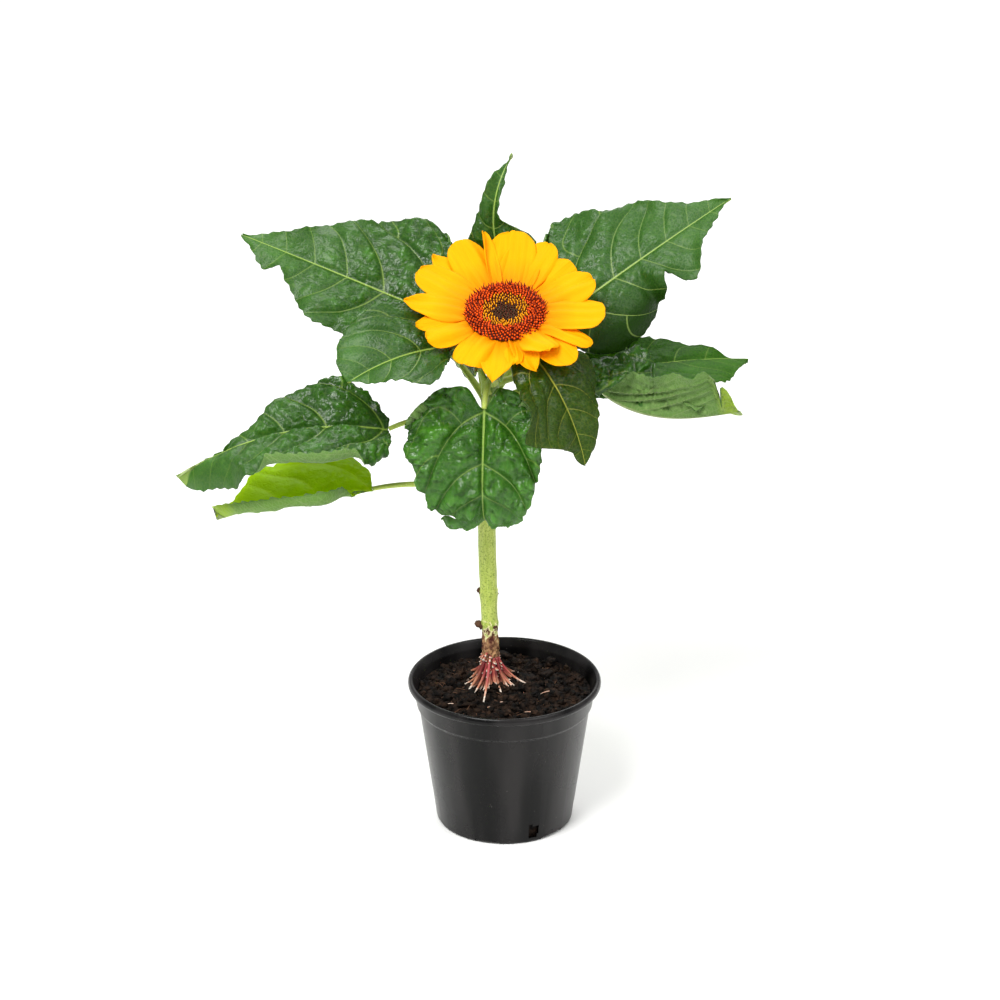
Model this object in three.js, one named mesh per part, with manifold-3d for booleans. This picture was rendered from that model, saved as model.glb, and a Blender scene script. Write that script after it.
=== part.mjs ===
// A dwarf sunflower in a black nursery pot, as an assembly of separate solids.
// Millimetres, +Z up. The origin is on the pot's axis, at the underside that it stands on.
// Angles are in degrees. A turn of 0 points along +X, 90 along +Y, and a pitch is above the horizon.

import * as THREE from "three";
import { mergeVertices } from "three/addons/utils/BufferGeometryUtils.js";
import Module from "manifold-3d";

const wasm = await Module();
wasm.setup();

// ---------------------------------------------------------------- driving sizes

const GAP = 0.4; // clearance between pieces that touch
const SLIVER = 0.06; // triangles thinner than this after a cut are merged into their neighbours

const POT = {
  height: 99,
  rimRadius: 65,
  baseRadius: 46.8,
  taper: 0.132, // outward growth of the wall for each millimetre of height
  wall: 1.4,
  floor: 2.2,
  shoulder: 71, // where the body turns out into the collar
  collar: 79,
  collarRadius: 59.6,
  lip: 90, // underside of the rolled rim
  lipWidth: 4.4,
  sides: 42,
};
const NOTCH = { count: 6, width: 17, height: 2.2, depth: 5, first: 255 }; // gaps under the pot's edge
const HOLE = { count: 6, radius: 4, ring: 33, first: 294 }; // drainage holes in the floor
const SLOT = { count: 6, width: 7, low: 3.4, high: 12, first: 294 }; // slots at the foot of the wall

const SOIL = {
  level: 92, // at the wall
  mound: 5, // how much higher it is round the plant
  moundRadius: 34,
  lump: 1.3,
  seatRadius: 8.5, // the flat patch that the stem stands on
  rings: 8,
  sides: 32,
};

const FOOT = { x: -9, y: 7 }; // where the stem leaves the compost
const STEM = { footRadius: 4.8, midRadius: 5.9, topRadius: 4.3, sides: 12, steps: 24 };
const NODES = [138, 160, 214, 262, 300]; // heights of the swollen leaf joints
const ROOTS = { rows: [9, 16, 23], each: 9, reach: 23, radius: 1.2, tip: 0.55, arch: 16 };

const HEAD = {
  x: 0.5,
  y: -7,
  z: 364,
  tilt: 24, // the head's axis leans this much from the vertical
  lean: 268, // and towards this side
  discRadius: 27.5,
  discHeight: 4,
  backRadius: 25,
  backDepth: 15,
  neckRadius: 6.2,
};
const PETAL = { count: 20, length: 46, width: 24, thickness: 0.8, root: 19.5, steps: 5, lanes: 4 };
const BRACT = { count: 16, length: 27, width: 9.5, thickness: 1.1 };

const LEAF = { thickness: 1.5, steps: 10, lanes: 6 };
const STALK = { root: 2.7, tip: 1.7, sides: 6, steps: 5 };

// ---------------------------------------------------------------- materials

const material = (color, roughness) =>
  new THREE.MeshStandardMaterial({ color, roughness, metalness: 0 });
const POT_PLASTIC = material("#37373a", 0.42);
const COMPOST = material("#2a201b", 0.95);
const STEM_SKIN = material("#a9c24d", 0.6);
const STALK_SKIN = material("#8fae3c", 0.6);
const LEAF_SKIN = material("#3f7a38", 0.5);
const PETAL_SKIN = material("#ffd000", 0.6);
const DISC_FLORETS = material("#8c3a16", 0.85);
const BRACT_SKIN = material("#5f8a3a", 0.65);

// ---------------------------------------------------------------- small helpers

const rad = THREE.MathUtils.degToRad;
const mix = THREE.MathUtils.lerp;
const smooth = THREE.MathUtils.smoothstep;
const vec = (x, y, z) => new THREE.Vector3(x, y, z);

// A repeatable number from 0 to 1 for a whole number and a salt.
function chance(i, salt = 0) {
  const s = Math.sin(i * 127.1 + salt * 311.7 + 17.3) * 43758.5453;
  return s - Math.floor(s);
}

// The same, from -1 to 1.
const around = (i, salt) => 2 * chance(i, salt) - 1;

function mesh(name, geometry, skin) {
  const m = new THREE.Mesh(geometry, skin);
  m.name = name;
  return m;
}

// Moves every vertex of a geometry to where place() puts it.
function remap(geometry, place) {
  const p = geometry.attributes.position;
  for (let i = 0; i < p.count; i++) {
    const q = place(p.getX(i), p.getY(i), p.getZ(i));
    p.setXYZ(i, q.x, q.y, q.z);
  }
  geometry.computeVertexNormals();
  return geometry;
}

function toSolid(geometry) {
  const bare = geometry.clone();
  bare.deleteAttribute("normal");
  bare.deleteAttribute("uv");
  const merged = mergeVertices(bare, 1e-3);
  return new wasm.Manifold(
    new wasm.Mesh({
      numProp: 3,
      vertProperties: new Float32Array(merged.attributes.position.array),
      triVerts: new Uint32Array(merged.index.array),
    }),
  );
}

function toGeometry(solid) {
  const m = solid.getMesh();
  const g = new THREE.BufferGeometry();
  g.setAttribute("position", new THREE.BufferAttribute(new Float32Array(m.vertProperties), 3));
  g.setIndex(new THREE.BufferAttribute(new Uint32Array(m.triVerts), 1));
  g.computeVertexNormals();
  return g;
}

// The largest body of a solid, without the slivers and loose scraps that a boolean leaves.
function largest(solid) {
  const bodies = solid.simplify(SLIVER).decompose();
  return bodies.reduce((a, b) => (b.volume() > a.volume() ? b : a));
}

// ---------------------------------------------------------------- limbs

const heading = (turn, pitch) =>
  vec(
    Math.cos(rad(turn)) * Math.cos(rad(pitch)),
    Math.sin(rad(turn)) * Math.cos(rad(pitch)),
    Math.sin(rad(pitch)),
  );

// A line that starts at a point and bends in an upright plane: sag is added to its pitch evenly
// along the way, and hook comes in towards the tip. Returns a function of 0 to 1, which goes on
// straight past either end.
function bentLine({ from, turn, pitch, length, sag = 0, hook = 0 }) {
  const STEPS = 48;
  const pitchAt = (t) => pitch + sag * t + hook * t * t * t;
  const points = [from.clone()];
  for (let i = 0; i < STEPS; i++) {
    const step = heading(turn, pitchAt((i + 0.5) / STEPS)).multiplyScalar(length / STEPS);
    points.push(points[i].clone().add(step));
  }
  const left = heading(turn + 90, 0);
  return (t) => {
    const inside = Math.min(Math.max(t, 0), 1);
    const k = Math.min(Math.floor(inside * STEPS), STEPS - 1);
    const ahead = heading(turn, pitchAt(inside));
    const point = points[k].clone().lerp(points[k + 1], inside * STEPS - k);
    point.addScaledVector(ahead, (t - inside) * length);
    return { point, ahead, left, up: ahead.clone().cross(left) };
  };
}

// A round limb of changing radius along a line, from a straight cylinder.
function limb(line, radiusAt, sides, steps) {
  const rod = new THREE.CylinderGeometry(1, 1, 1, sides, steps);
  rod.rotateX(Math.PI / 2); // its axis is now Z, and the top end is at +Z
  return remap(rod, (x, y, z) => {
    const t = z + 0.5;
    const at = line(t);
    const r = radiusAt(t);
    return at.point.clone().addScaledVector(at.left, x * r).addScaledVector(at.up, y * r);
  });
}

// ---------------------------------------------------------------- blades: leaves, petals, bracts

// Half-width shares along the midrib, from the base at 0 to the tip at 1, with a largest value of 1.
const BLADE_TIP = 0.02;
const shares = (fill, point, foot = 0.1) => {
  const at = (u) => Math.pow(u + foot, fill) * Math.pow(1 - u + BLADE_TIP, point);
  const peak = Math.max(...Array.from({ length: 101 }, (_, i) => at(i / 100)));
  return (u) => at(u) / peak;
};
const LEAF_OUTLINES = {
  heart: shares(0.33, 1.3, 0.05), // broadest near the base, with a long point
  oval: shares(0.48, 0.98),
  egg: shares(0.5, 1.7, 0.03), // rounded in to the stalk, with a long point
  round: shares(0.45, 0.78), // broad and blunt
  club: shares(0.9, 0.5), // broadest past the middle
};
const petalShare = shares(0.9, 0.46);
const bractShare = shares(0.2, 0.95);

// How far the base edge swings back beside the stalk: two round lobes with a notch between them.
const LOBE_PEAK = 0.5;
function lobeShare(v) {
  const a = Math.abs(v);
  if (a < LOBE_PEAK) return (1 - Math.cos((Math.PI * a) / LOBE_PEAK)) / 2;
  const past = (a - LOBE_PEAK) / (1 - LOBE_PEAK);
  return Math.sqrt(Math.max(0, 1 - past * past));
}

// Along an arc that starts at slope a0 and turns by a1 over its length: [across, rise] at distance q.
function arc(a0, a1, length, q) {
  const k = a1 / length;
  if (Math.abs(k) < 1e-6) return [q * Math.cos(a0), q * Math.sin(a0)];
  return [(Math.sin(a0 + k * q) - Math.sin(a0)) / k, (Math.cos(a0) - Math.cos(a0 + k * q)) / k];
}

// A point of a blade's middle surface. u runs from base to tip, v from -1 on the right to 1 on the
// left. Each half leaves the midrib at the angle fold, and bends by cup on its way to the edge.
function bladePoint(line, b, u, v) {
  const back = (b.lobe ?? 0) * lobeShare(v) * Math.pow(1 - u, 3);
  const at = line(u - back);
  const outline = v > 0 ? (b.leftOutline ?? b.outline) : b.outline;
  const half = (b.width / 2) * outline(u) * (v > 0 ? (b.leftShare ?? 1) : (b.rightShare ?? 1));
  const fold = rad((v > 0 ? b.foldLeft : b.foldRight) ?? b.fold);
  const cup = rad(b.cup ?? 0);
  const ease = smooth(u, -0.1, 0.25); // a blade is flat where it begins
  const [across, rise] = arc(fold * ease, cup * ease, b.width / 2, half * Math.abs(v));
  const roll = rad(b.roll ?? 0);
  const left = at.left.clone().multiplyScalar(Math.cos(roll)).addScaledVector(at.up, Math.sin(roll));
  const up = at.up.clone().multiplyScalar(Math.cos(roll)).addScaledVector(at.left, -Math.sin(roll));
  return at.point.addScaledVector(left, across * Math.sign(v)).addScaledVector(up, rise);
}

// A blade of even thickness, from a flat box.
function blade(line, b, steps, lanes) {
  const slab = new THREE.BoxGeometry(1, 1, 1, steps, lanes, 1);
  const STEP = 0.01;
  return remap(slab, (x, y, z) => {
    const u = x + 0.5;
    const v = Math.sin(Math.PI * y); // lanes lie closer together near the edges
    const vIn = v * (1 - STEP); // the edge's own normal is read just inside it
    const along = bladePoint(line, b, Math.min(u + STEP, 1), vIn).sub(
      bladePoint(line, b, Math.max(u - STEP, 0), vIn),
    );
    const across = bladePoint(line, b, u, vIn + STEP).sub(bladePoint(line, b, u, vIn - STEP));
    const normal = along.cross(across).normalize();
    return bladePoint(line, b, u, v).addScaledVector(normal, z * b.thickness);
  });
}

// ---------------------------------------------------------------- pot

const bodyRadius = (z) => POT.baseRadius + POT.taper * z;

function makePot() {
  const wall = POT.wall;
  const rim = POT.rimRadius;
  const collarTop = POT.collarRadius + 1.3;
  const profile = [
    [0, 0],
    [POT.baseRadius - 1.2, 0],
    [POT.baseRadius, 1.2],
    [bodyRadius(POT.shoulder), POT.shoulder],
    [POT.collarRadius, POT.collar],
    [collarTop, POT.lip],
    [rim - 0.8, POT.lip + 0.6],
    [rim, POT.lip + 3],
    [rim - 0.4, POT.height - 2],
    [rim - 1.8, POT.height],
    [rim - POT.lipWidth, POT.height - 0.6],
    [collarTop - wall, POT.lip],
    [POT.collarRadius - wall, POT.collar],
    [bodyRadius(POT.shoulder) - wall, POT.shoulder],
    [POT.baseRadius - wall, POT.floor],
    [0, POT.floor],
  ].map(([r, z]) => new THREE.Vector2(r, z));
  const turned = new THREE.LatheGeometry(profile, POT.sides);
  turned.rotateX(Math.PI / 2);
  let solid = toSolid(turned);
  for (let i = 0; i < NOTCH.count; i++) {
    const a = rad(NOTCH.first + (360 / NOTCH.count) * i);
    const tooth = new THREE.BoxGeometry(NOTCH.depth * 2, NOTCH.width, NOTCH.height * 2);
    tooth.rotateZ(a);
    tooth.translate(POT.baseRadius * Math.cos(a), POT.baseRadius * Math.sin(a), 0);
    solid = solid.subtract(toSolid(tooth));
  }
  for (let i = 0; i < SLOT.count; i++) {
    const a = rad(SLOT.first + (360 / SLOT.count) * i);
    const punch = new THREE.BoxGeometry(NOTCH.depth * 2, SLOT.width, SLOT.high - SLOT.low);
    punch.rotateZ(a);
    punch.translate(POT.baseRadius * Math.cos(a), POT.baseRadius * Math.sin(a), (SLOT.low + SLOT.high) / 2);
    solid = solid.subtract(toSolid(punch));
  }
  for (let i = 0; i < HOLE.count; i++) {
    const a = rad(HOLE.first + (360 / HOLE.count) * i);
    const drill = new THREE.CylinderGeometry(HOLE.radius, HOLE.radius, POT.floor * 4, 12);
    drill.rotateX(Math.PI / 2);
    drill.translate(HOLE.ring * Math.cos(a), HOLE.ring * Math.sin(a), POT.floor / 2);
    solid = solid.subtract(toSolid(drill));
  }
  return mesh("pot", toGeometry(largest(solid)), POT_PLASTIC);
}

// ---------------------------------------------------------------- compost

// Height of the compost: a low mound round the plant, small lumps, and a flat seat for the stem.
function soilHeight(x, y) {
  const away = Math.hypot(x - FOOT.x, y - FOOT.y);
  const mound = SOIL.mound * Math.exp(-((away / SOIL.moundRadius) ** 2));
  const lumps =
    Math.sin(x * 0.21 + 1.3) * Math.cos(y * 0.26 + 0.4) + 0.6 * Math.sin(x * 0.43 - y * 0.37 + 2.1);
  return SOIL.level + mound + SOIL.lump * lumps * smooth(away, SOIL.seatRadius, SOIL.seatRadius + 14);
}
const SEAT = SOIL.level + SOIL.mound; // height of the flat seat

function makeSoilGeometry() {
  const inner = (z) => bodyRadius(z) - POT.wall - GAP;
  const low = POT.floor + GAP;
  const topRadius = POT.collarRadius + 0.9 - POT.wall - GAP;
  const profile = [
    [0, low],
    [inner(low) - 0.4, low],
    [inner(POT.shoulder) - 0.4, POT.shoulder],
    [POT.collarRadius - POT.wall - GAP - 0.4, POT.collar],
    [topRadius, SOIL.level - 1.5],
  ];
  for (let i = 1; i <= SOIL.rings; i++) {
    profile.push([topRadius * (1 - i / SOIL.rings), SOIL.level]);
  }
  const turned = new THREE.LatheGeometry(
    profile.map(([r, z]) => new THREE.Vector2(r, z)),
    SOIL.sides,
  );
  turned.rotateX(Math.PI / 2);
  return remap(turned, (x, y, z) => {
    if (z < SOIL.level - 2) return vec(x, y, z);
    const edge = smooth(topRadius - Math.hypot(x, y), 0, 9);
    // The rings are drawn in towards the foot, so that its seat is finely divided.
    const pull = 1 - Math.hypot(x, y) / topRadius;
    const px = x + FOOT.x * pull;
    const py = y + FOOT.y * pull;
    return vec(px, py, mix(z, Math.min(soilHeight(px, py), SEAT), edge));
  });
}

// ---------------------------------------------------------------- stem and prop roots

const foot = vec(FOOT.x, FOOT.y, SEAT + GAP);
const headAxis = heading(HEAD.lean, 90 - HEAD.tilt);
const headCentre = vec(HEAD.x, HEAD.y, HEAD.z);
const neck = headCentre.clone().addScaledVector(headAxis, -(HEAD.backDepth + GAP));
const stemCurve = new THREE.CubicBezierCurve3(
  foot,
  vec(FOOT.x - 1.5, FOOT.y, mix(foot.z, neck.z, 0.38)),
  neck.clone().addScaledVector(headAxis, -62).add(vec(-20, 0, 0)),
  neck,
);

function stemFrame(t) {
  const point = stemCurve.getPoint(t);
  const tangent = stemCurve.getTangent(Math.min(Math.max(t, 0.001), 0.999));
  const ahead = tangent.normalize().lerp(headAxis, smooth(t, 0.88, 1)).normalize();
  const left = vec(0, 1, 0).cross(ahead).normalize();
  return { point, ahead, left, up: ahead.clone().cross(left) };
}

// How far along the stem's axis a height is, from 0 to 1, found by halving.
function stemAt(z) {
  let low = 0;
  let high = 1;
  for (let i = 0; i < 30; i++) {
    const t = (low + high) / 2;
    if (stemCurve.getPoint(t).z < z) low = t;
    else high = t;
  }
  return low;
}

function stemRadius(t) {
  const z = stemCurve.getPoint(t).z;
  const lower = mix(STEM.footRadius, STEM.midRadius, smooth(t, 0.04, 0.3));
  const plain = mix(lower, STEM.topRadius, smooth(t, 0.4, 0.95));
  const swell = NODES.reduce((s, node) => s + 0.55 * Math.exp(-(((z - node) / 4) ** 2)), 0);
  const collar = (HEAD.neckRadius - STEM.topRadius) * smooth(t, 0.93, 1);
  return plain + swell + collar;
}

// A prop root goes out and down from the stem to the compost, and flattens out as it lands.
function rootGeometry(row, i) {
  const turn = (360 / ROOTS.each) * (i + 0.5 * row) + 14 * around(i, row);
  const reach = ROOTS.reach * (0.82 + 0.3 * chance(i, row + 5));
  const from = foot.clone().addScaledVector(heading(turn, 0), STEM.footRadius * 0.5);
  from.z += ROOTS.rows[row];
  const drop = ROOTS.rows[row] - 1.5;
  const slope = THREE.MathUtils.radToDeg(Math.atan2(drop, reach));
  const length = Math.hypot(reach, drop);
  const line = bentLine({ from, turn, pitch: -slope - ROOTS.arch, length, sag: 2 * ROOTS.arch });
  return limb(line, (t) => mix(ROOTS.radius, ROOTS.tip, t), 4, 3);
}

// The roots are cut off where they would enter the compost.
function makeStem(soilGeometry) {
  let solid = toSolid(limb(stemFrame, stemRadius, STEM.sides, STEM.steps));
  for (let row = 0; row < ROOTS.rows.length; row++) {
    for (let i = 0; i < ROOTS.each; i++) solid = solid.add(toSolid(rootGeometry(row, i)));
  }
  const soilAndGap = toSolid(soilGeometry).translate([0, 0, GAP]);
  return mesh("stem", toGeometry(largest(solid.subtract(soilAndGap))), STEM_SKIN);
}

// ---------------------------------------------------------------- leaves on their stalks

// Each leaf leaves the stem at a height, on a stalk that bends by sag, and its blade then goes on.
// Blade angles: pitch and turn are measured where the blade begins.
const LEAVES = [
  {
    name: "upper_left",
    z: 322,
    outline: "heart",
    leftOutline: "round",
    stalk: { turn: 135, pitch: 40, length: 48, sag: -25 },
    blade: {
      turn: 165, pitch: 19, length: 145, sag: -2, width: 126, lobe: 0.08, roll: -36,
      leftShare: 0.62, fold: 4, cup: -12,
    },
  },
  {
    name: "left_inner",
    z: 307.5,
    outline: "oval",
    stalk: { turn: 217, pitch: 79, length: 41, sag: -40 },
    blade: {
      turn: 203, pitch: 8, length: 80, sag: -36, width: 76, lobe: 0, roll: -26, fold: 18, cup: -10,
    },
  },
  {
    name: "mid_left",
    z: 290,
    outline: "egg",
    stalk: { turn: 190, pitch: 15, length: 62, sag: -46 },
    blade: {
      turn: 187, pitch: 12, length: 145, sag: -46, width: 96, lobe: 0, roll: -20, rightShare: 0.86,
      fold: 18, cup: -12,
    },
  },
  {
    name: "low_left",
    z: 236,
    outline: "oval",
    stalk: { turn: 186, pitch: 20, length: 70, sag: -30 },
    blade: {
      turn: 187, pitch: 1, length: 106, sag: -20, width: 76, lobe: 0.06, roll: -4, fold: 18,
      cup: -8,
    },
  },
  {
    name: "front",
    z: 314,
    outline: "round",
    stalk: { turn: 261, pitch: 36, length: 37, sag: -95 },
    blade: {
      turn: 264, pitch: -70, length: 105, sag: -10, hook: -110, width: 90, leftShare: 0.86,
      rightShare: 1.1, lobe: 0.1, fold: 4, cup: -16,
    },
  },
  {
    name: "front_right",
    z: 328,
    outline: "round",
    stalk: { turn: 306, pitch: 49, length: 41, sag: -50 },
    blade: {
      turn: 317, pitch: -35, length: 79, sag: -40, width: 74, rightShare: 0.95, lobe: 0.1, fold: 6,
      cup: -14,
    },
  },
  {
    name: "upper_right",
    z: 326,
    outline: "heart",
    stalk: { turn: 28, pitch: 41, length: 58, sag: -25 },
    blade: {
      turn: 19, pitch: 32, length: 127, sag: -4, width: 122, lobe: 0.1, roll: 30, rightShare: 0.8,
      fold: 4, cup: -12,
    },
  },
  {
    name: "right_back",
    z: 310,
    outline: "oval",
    stalk: { turn: 28, pitch: 9, length: 71, sag: -30 },
    blade: {
      turn: 16, pitch: 8, length: 109, sag: -16, width: 84, leftShare: 0.7, roll: 6, fold: 8,
      cup: -10,
    },
  },
  {
    name: "right_curled",
    z: 298,
    outline: "club",
    stalk: { turn: 354, pitch: 30, length: 63, sag: -30 },
    blade: {
      turn: 344, pitch: -38, length: 105, sag: 64, width: 76, leftShare: 0.9, lobe: 0.08,
      foldLeft: 40, foldRight: 78,
    },
  },
  {
    name: "top",
    z: 316,
    outline: "heart",
    stalk: { turn: 86, pitch: 31, length: 83, sag: 30 },
    blade: { turn: 50, pitch: 100, length: 74, sag: -45, width: 44, lobe: 0, roll: -30, fold: 50 },
  },
  {
    name: "back",
    z: 274,
    outline: "oval",
    stalk: { turn: 95, pitch: 30, length: 62, sag: -20 },
    blade: { turn: 92, pitch: 10, length: 97, sag: -40, width: 80, fold: 8, cup: -14 },
  },
  {
    name: "back_left",
    z: 296,
    outline: "oval",
    stalk: { turn: 126, pitch: 36, length: 58, sag: -20 },
    blade: { turn: 130, pitch: 14, length: 98, sag: -40, width: 78, fold: 8, cup: -14 },
  },
  {
    name: "back_right",
    z: 302,
    outline: "oval",
    stalk: { turn: 52, pitch: 36, length: 58, sag: -20 },
    blade: { turn: 48, pitch: 14, length: 98, sag: -40, width: 78, fold: 8, cup: -14 },
  },
  {
    name: "low_back",
    z: 256,
    outline: "round",
    stalk: { turn: 91, pitch: 6, length: 31, sag: -20 },
    blade: { turn: 95, pitch: -17, length: 77, sag: -60, width: 72, fold: 6, cup: -14 },
  },
];

// A stalk is cut clear of the stem, and its blade clear of the stalk.
function makeLeaf(leaf, stemAndGap) {
  const at = stemAt(leaf.z);
  const stalkStart = stemCurve.getPoint(at).addScaledVector(heading(leaf.stalk.turn, 0), stemRadius(at));
  const stalkLine = bentLine({ from: stalkStart, ...leaf.stalk });
  const stalkRadius = (t) => mix(STALK.root, STALK.tip, t);
  const stalk = toSolid(limb(stalkLine, stalkRadius, STALK.sides, STALK.steps));
  const longer = (t) => stalkLine(t * (1 + GAP / leaf.stalk.length));
  const stalkAndGap = toSolid(limb(longer, (t) => stalkRadius(t) + GAP, STALK.sides, STALK.steps));
  const tip = stalkLine(1);
  const bladeStart = tip.point.clone().addScaledVector(tip.ahead, 1.5 * GAP);
  const shape = {
    outline: LEAF_OUTLINES[leaf.outline],
    leftOutline: LEAF_OUTLINES[leaf.leftOutline ?? leaf.outline],
    lobe: 0.17,
    thickness: LEAF.thickness,
    ...leaf.blade,
  };
  const bladeLine = bentLine({ from: bladeStart, ...leaf.blade });
  const whole = toSolid(blade(bladeLine, shape, LEAF.steps, LEAF.lanes));
  return [
    mesh("stalk_" + leaf.name, toGeometry(largest(stalk.subtract(stemAndGap))), STALK_SKIN),
    mesh("leaf_" + leaf.name, toGeometry(largest(whole.subtract(stalkAndGap))), LEAF_SKIN),
  ];
}

// ---------------------------------------------------------------- flower head

// The head is built flat in its own frame, with its axis up, and its group is then leaned over.
function makeHead() {
  const head = new THREE.Group();
  head.position.copy(headCentre);
  head.quaternion.setFromUnitVectors(vec(0, 0, 1), headAxis);
  head.add(makeDisc(), makeReceptacle(), ...makePetals());
  return head;
}

function makeDisc() {
  const r = HEAD.discRadius;
  const h = HEAD.discHeight;
  const profile = [
    [0, -1],
    [16, -1],
    [19, 2.5],
    [r - 0.8, 3],
    [r, 4],
    [r - 1.8, h + 0.4],
    [r - 6, h + 1.4],
    [r - 11, h],
    [9, h - 1.2],
    [5, h - 1.4],
    [0, h - 1.8],
  ].map(([x, z]) => new THREE.Vector2(x, z));
  const turned = new THREE.LatheGeometry(profile, 32);
  turned.rotateX(Math.PI / 2);
  return mesh("disc_florets", turned, DISC_FLORETS);
}

function makeReceptacle() {
  const deep = HEAD.backDepth;
  const profile = [
    [0, -deep],
    [HEAD.neckRadius, -deep],
    [HEAD.neckRadius + 2.5, -deep + 3.5],
    [16, -deep + 7.5],
    [HEAD.backRadius - 1.5, -5],
    [HEAD.backRadius, -2.6],
    [HEAD.backRadius - 2, -1.6],
    [0, -1.6],
  ].map(([x, z]) => new THREE.Vector2(x, z));
  const turned = new THREE.LatheGeometry(profile, 28);
  turned.rotateX(Math.PI / 2);
  let solid = toSolid(turned);
  for (let i = 0; i < BRACT.count; i++) {
    const turn = (360 / BRACT.count) * i + 5 * around(i, 3);
    const from = heading(turn, 0).multiplyScalar(HEAD.backRadius - 7);
    from.z = -6.5 - (i % 2) * 1.2;
    const line = bentLine({ from, turn, pitch: 2 - (i % 2) * 8, length: BRACT.length, sag: -26 });
    const shape = { ...BRACT, outline: bractShare, fold: 12, cup: -20 };
    solid = solid.add(toSolid(blade(line, shape, 4, 2)));
  }
  return mesh("receptacle", toGeometry(largest(solid)), BRACT_SKIN);
}

function makePetals() {
  const petals = [];
  for (let i = 0; i < PETAL.count; i++) {
    const upper = i % 2;
    const turn = (360 / PETAL.count) * i + 2 * around(i, 1);
    const from = heading(turn, 0).multiplyScalar(PETAL.root);
    from.z = upper ? 0.4 : -0.9;
    const line = bentLine({
      from,
      turn,
      pitch: upper ? 5 : 0,
      length: PETAL.length * (1 + 0.05 * around(i, 2)),
      sag: upper ? 9 : 4,
    });
    const shape = { ...PETAL, outline: petalShare, fold: 3, cup: upper ? -18 : 6 };
    const name = "petal_" + String(i + 1).padStart(2, "0");
    petals.push(mesh(name, blade(line, shape, PETAL.steps, PETAL.lanes), PETAL_SKIN));
  }
  return petals;
}

// ---------------------------------------------------------------- the whole plant

const plant = new THREE.Group();
const soilGeometry = makeSoilGeometry();
plant.add(makePot());
plant.add(mesh("compost", soilGeometry, COMPOST));
plant.add(makeStem(soilGeometry));
const stemAndGap = toSolid(limb(stemFrame, (t) => stemRadius(t) + GAP, STEM.sides, STEM.steps));
for (const leaf of LEAVES) plant.add(...makeLeaf(leaf, stemAndGap));
plant.add(makeHead());

export default plant;
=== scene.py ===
# %% [markdown]
# # A dwarf sunflower in a nursery pot
#
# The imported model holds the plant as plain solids: a pot, its compost, a stem, fourteen leaves on
# their stalks and one flower head. This lesson dresses each of them in the detail of the living
# plant. The frame comes first, because every piece that is made here has to lie where its solid is.

# %% Load the frame
from math import atan2, cos, degrees, exp, floor, hypot, pi, radians, sin, sqrt, tau

import bmesh
import bpy
from mathutils import Matrix, Vector, noise


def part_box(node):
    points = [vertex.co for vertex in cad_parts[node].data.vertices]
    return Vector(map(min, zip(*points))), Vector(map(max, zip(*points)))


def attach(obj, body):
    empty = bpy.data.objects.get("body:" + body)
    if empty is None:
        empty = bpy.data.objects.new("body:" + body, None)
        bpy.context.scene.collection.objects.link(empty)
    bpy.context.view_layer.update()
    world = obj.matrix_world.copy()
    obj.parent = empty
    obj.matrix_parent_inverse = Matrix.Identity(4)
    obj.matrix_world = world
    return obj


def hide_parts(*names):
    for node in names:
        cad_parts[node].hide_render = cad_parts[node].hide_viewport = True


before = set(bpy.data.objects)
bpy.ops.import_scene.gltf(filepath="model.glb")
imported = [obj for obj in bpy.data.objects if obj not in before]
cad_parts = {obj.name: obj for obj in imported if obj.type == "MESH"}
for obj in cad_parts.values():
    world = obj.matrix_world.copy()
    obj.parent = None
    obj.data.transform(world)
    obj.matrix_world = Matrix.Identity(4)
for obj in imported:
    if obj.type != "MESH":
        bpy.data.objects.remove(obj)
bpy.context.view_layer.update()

# %% [markdown]
# ## Small tools
#
# Plants are easiest to think of in millimetres, so every size below is in millimetres, and one
# function turns a finished bmesh into an object in metres. The other helpers are a repeatable
# "chance" in place of random numbers, so that each run grows the same plant, and the usual blends.

# %% Numbers and directions
MM = 0.001


def mix(a, b, t):
    return a + (b - a) * t


def smooth(x, low, high):
    t = min(max((x - low) / (high - low), 0.0), 1.0)
    return t * t * (3 - 2 * t)


def chance(i, salt=0):
    """A repeatable number from 0 to 1 for a whole number and a salt."""
    s = sin(i * 127.1 + salt * 311.7 + 17.3) * 43758.5453
    return s - floor(s)


def around(i, salt=0):
    return 2 * chance(i, salt) - 1


def heading(turn, pitch):
    """The direction at a turn about the upright axis and a pitch above the horizon, in degrees."""
    t, p = radians(turn), radians(pitch)
    return Vector((cos(t) * cos(p), sin(t) * cos(p), sin(p)))


def bell(x, width):
    return exp(-((x / width) ** 2))


def turned(left, up, angle):
    """Two directions at right angles, turned together."""
    return left * cos(angle) + up * sin(angle), up * cos(angle) - left * sin(angle)


def to_direction(direction):
    """The turn that lays the upright axis along a direction."""
    return Vector((0, 0, 1)).rotation_difference(direction).to_matrix().to_4x4()


def ripple_at(*place):
    return noise.noise(Vector(place))


print("chance gives", [round(chance(i), 3) for i in range(3)])

# %% From a bmesh to a piece
def add_object(name, data):
    made = bpy.data.objects.new(name, data)
    bpy.context.scene.collection.objects.link(made)
    return made


def mesh_object(bm, name, skins=(), scale=MM):
    """Turns a bmesh in millimetres into an object in metres."""
    bmesh.ops.scale(bm, vec=(scale, scale, scale), verts=bm.verts)
    mesh = bpy.data.meshes.new(name)
    bm.to_mesh(mesh)
    bm.free()
    for skin in skins:
        mesh.materials.append(skin)
    return add_object(name, mesh)


def make_piece(bm, name, skins, replaces=(), flat=False, closed=False):
    """Makes a piece that rides on the plant. A closed one has its faces turned outwards first."""
    if closed:
        bmesh.ops.recalc_face_normals(bm, faces=bm.faces)
    for face in bm.faces:
        face.smooth = not flat
    piece = mesh_object(bm, name, skins)
    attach(piece, "root")
    if replaces:
        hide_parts(*replaces)
    return piece


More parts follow.
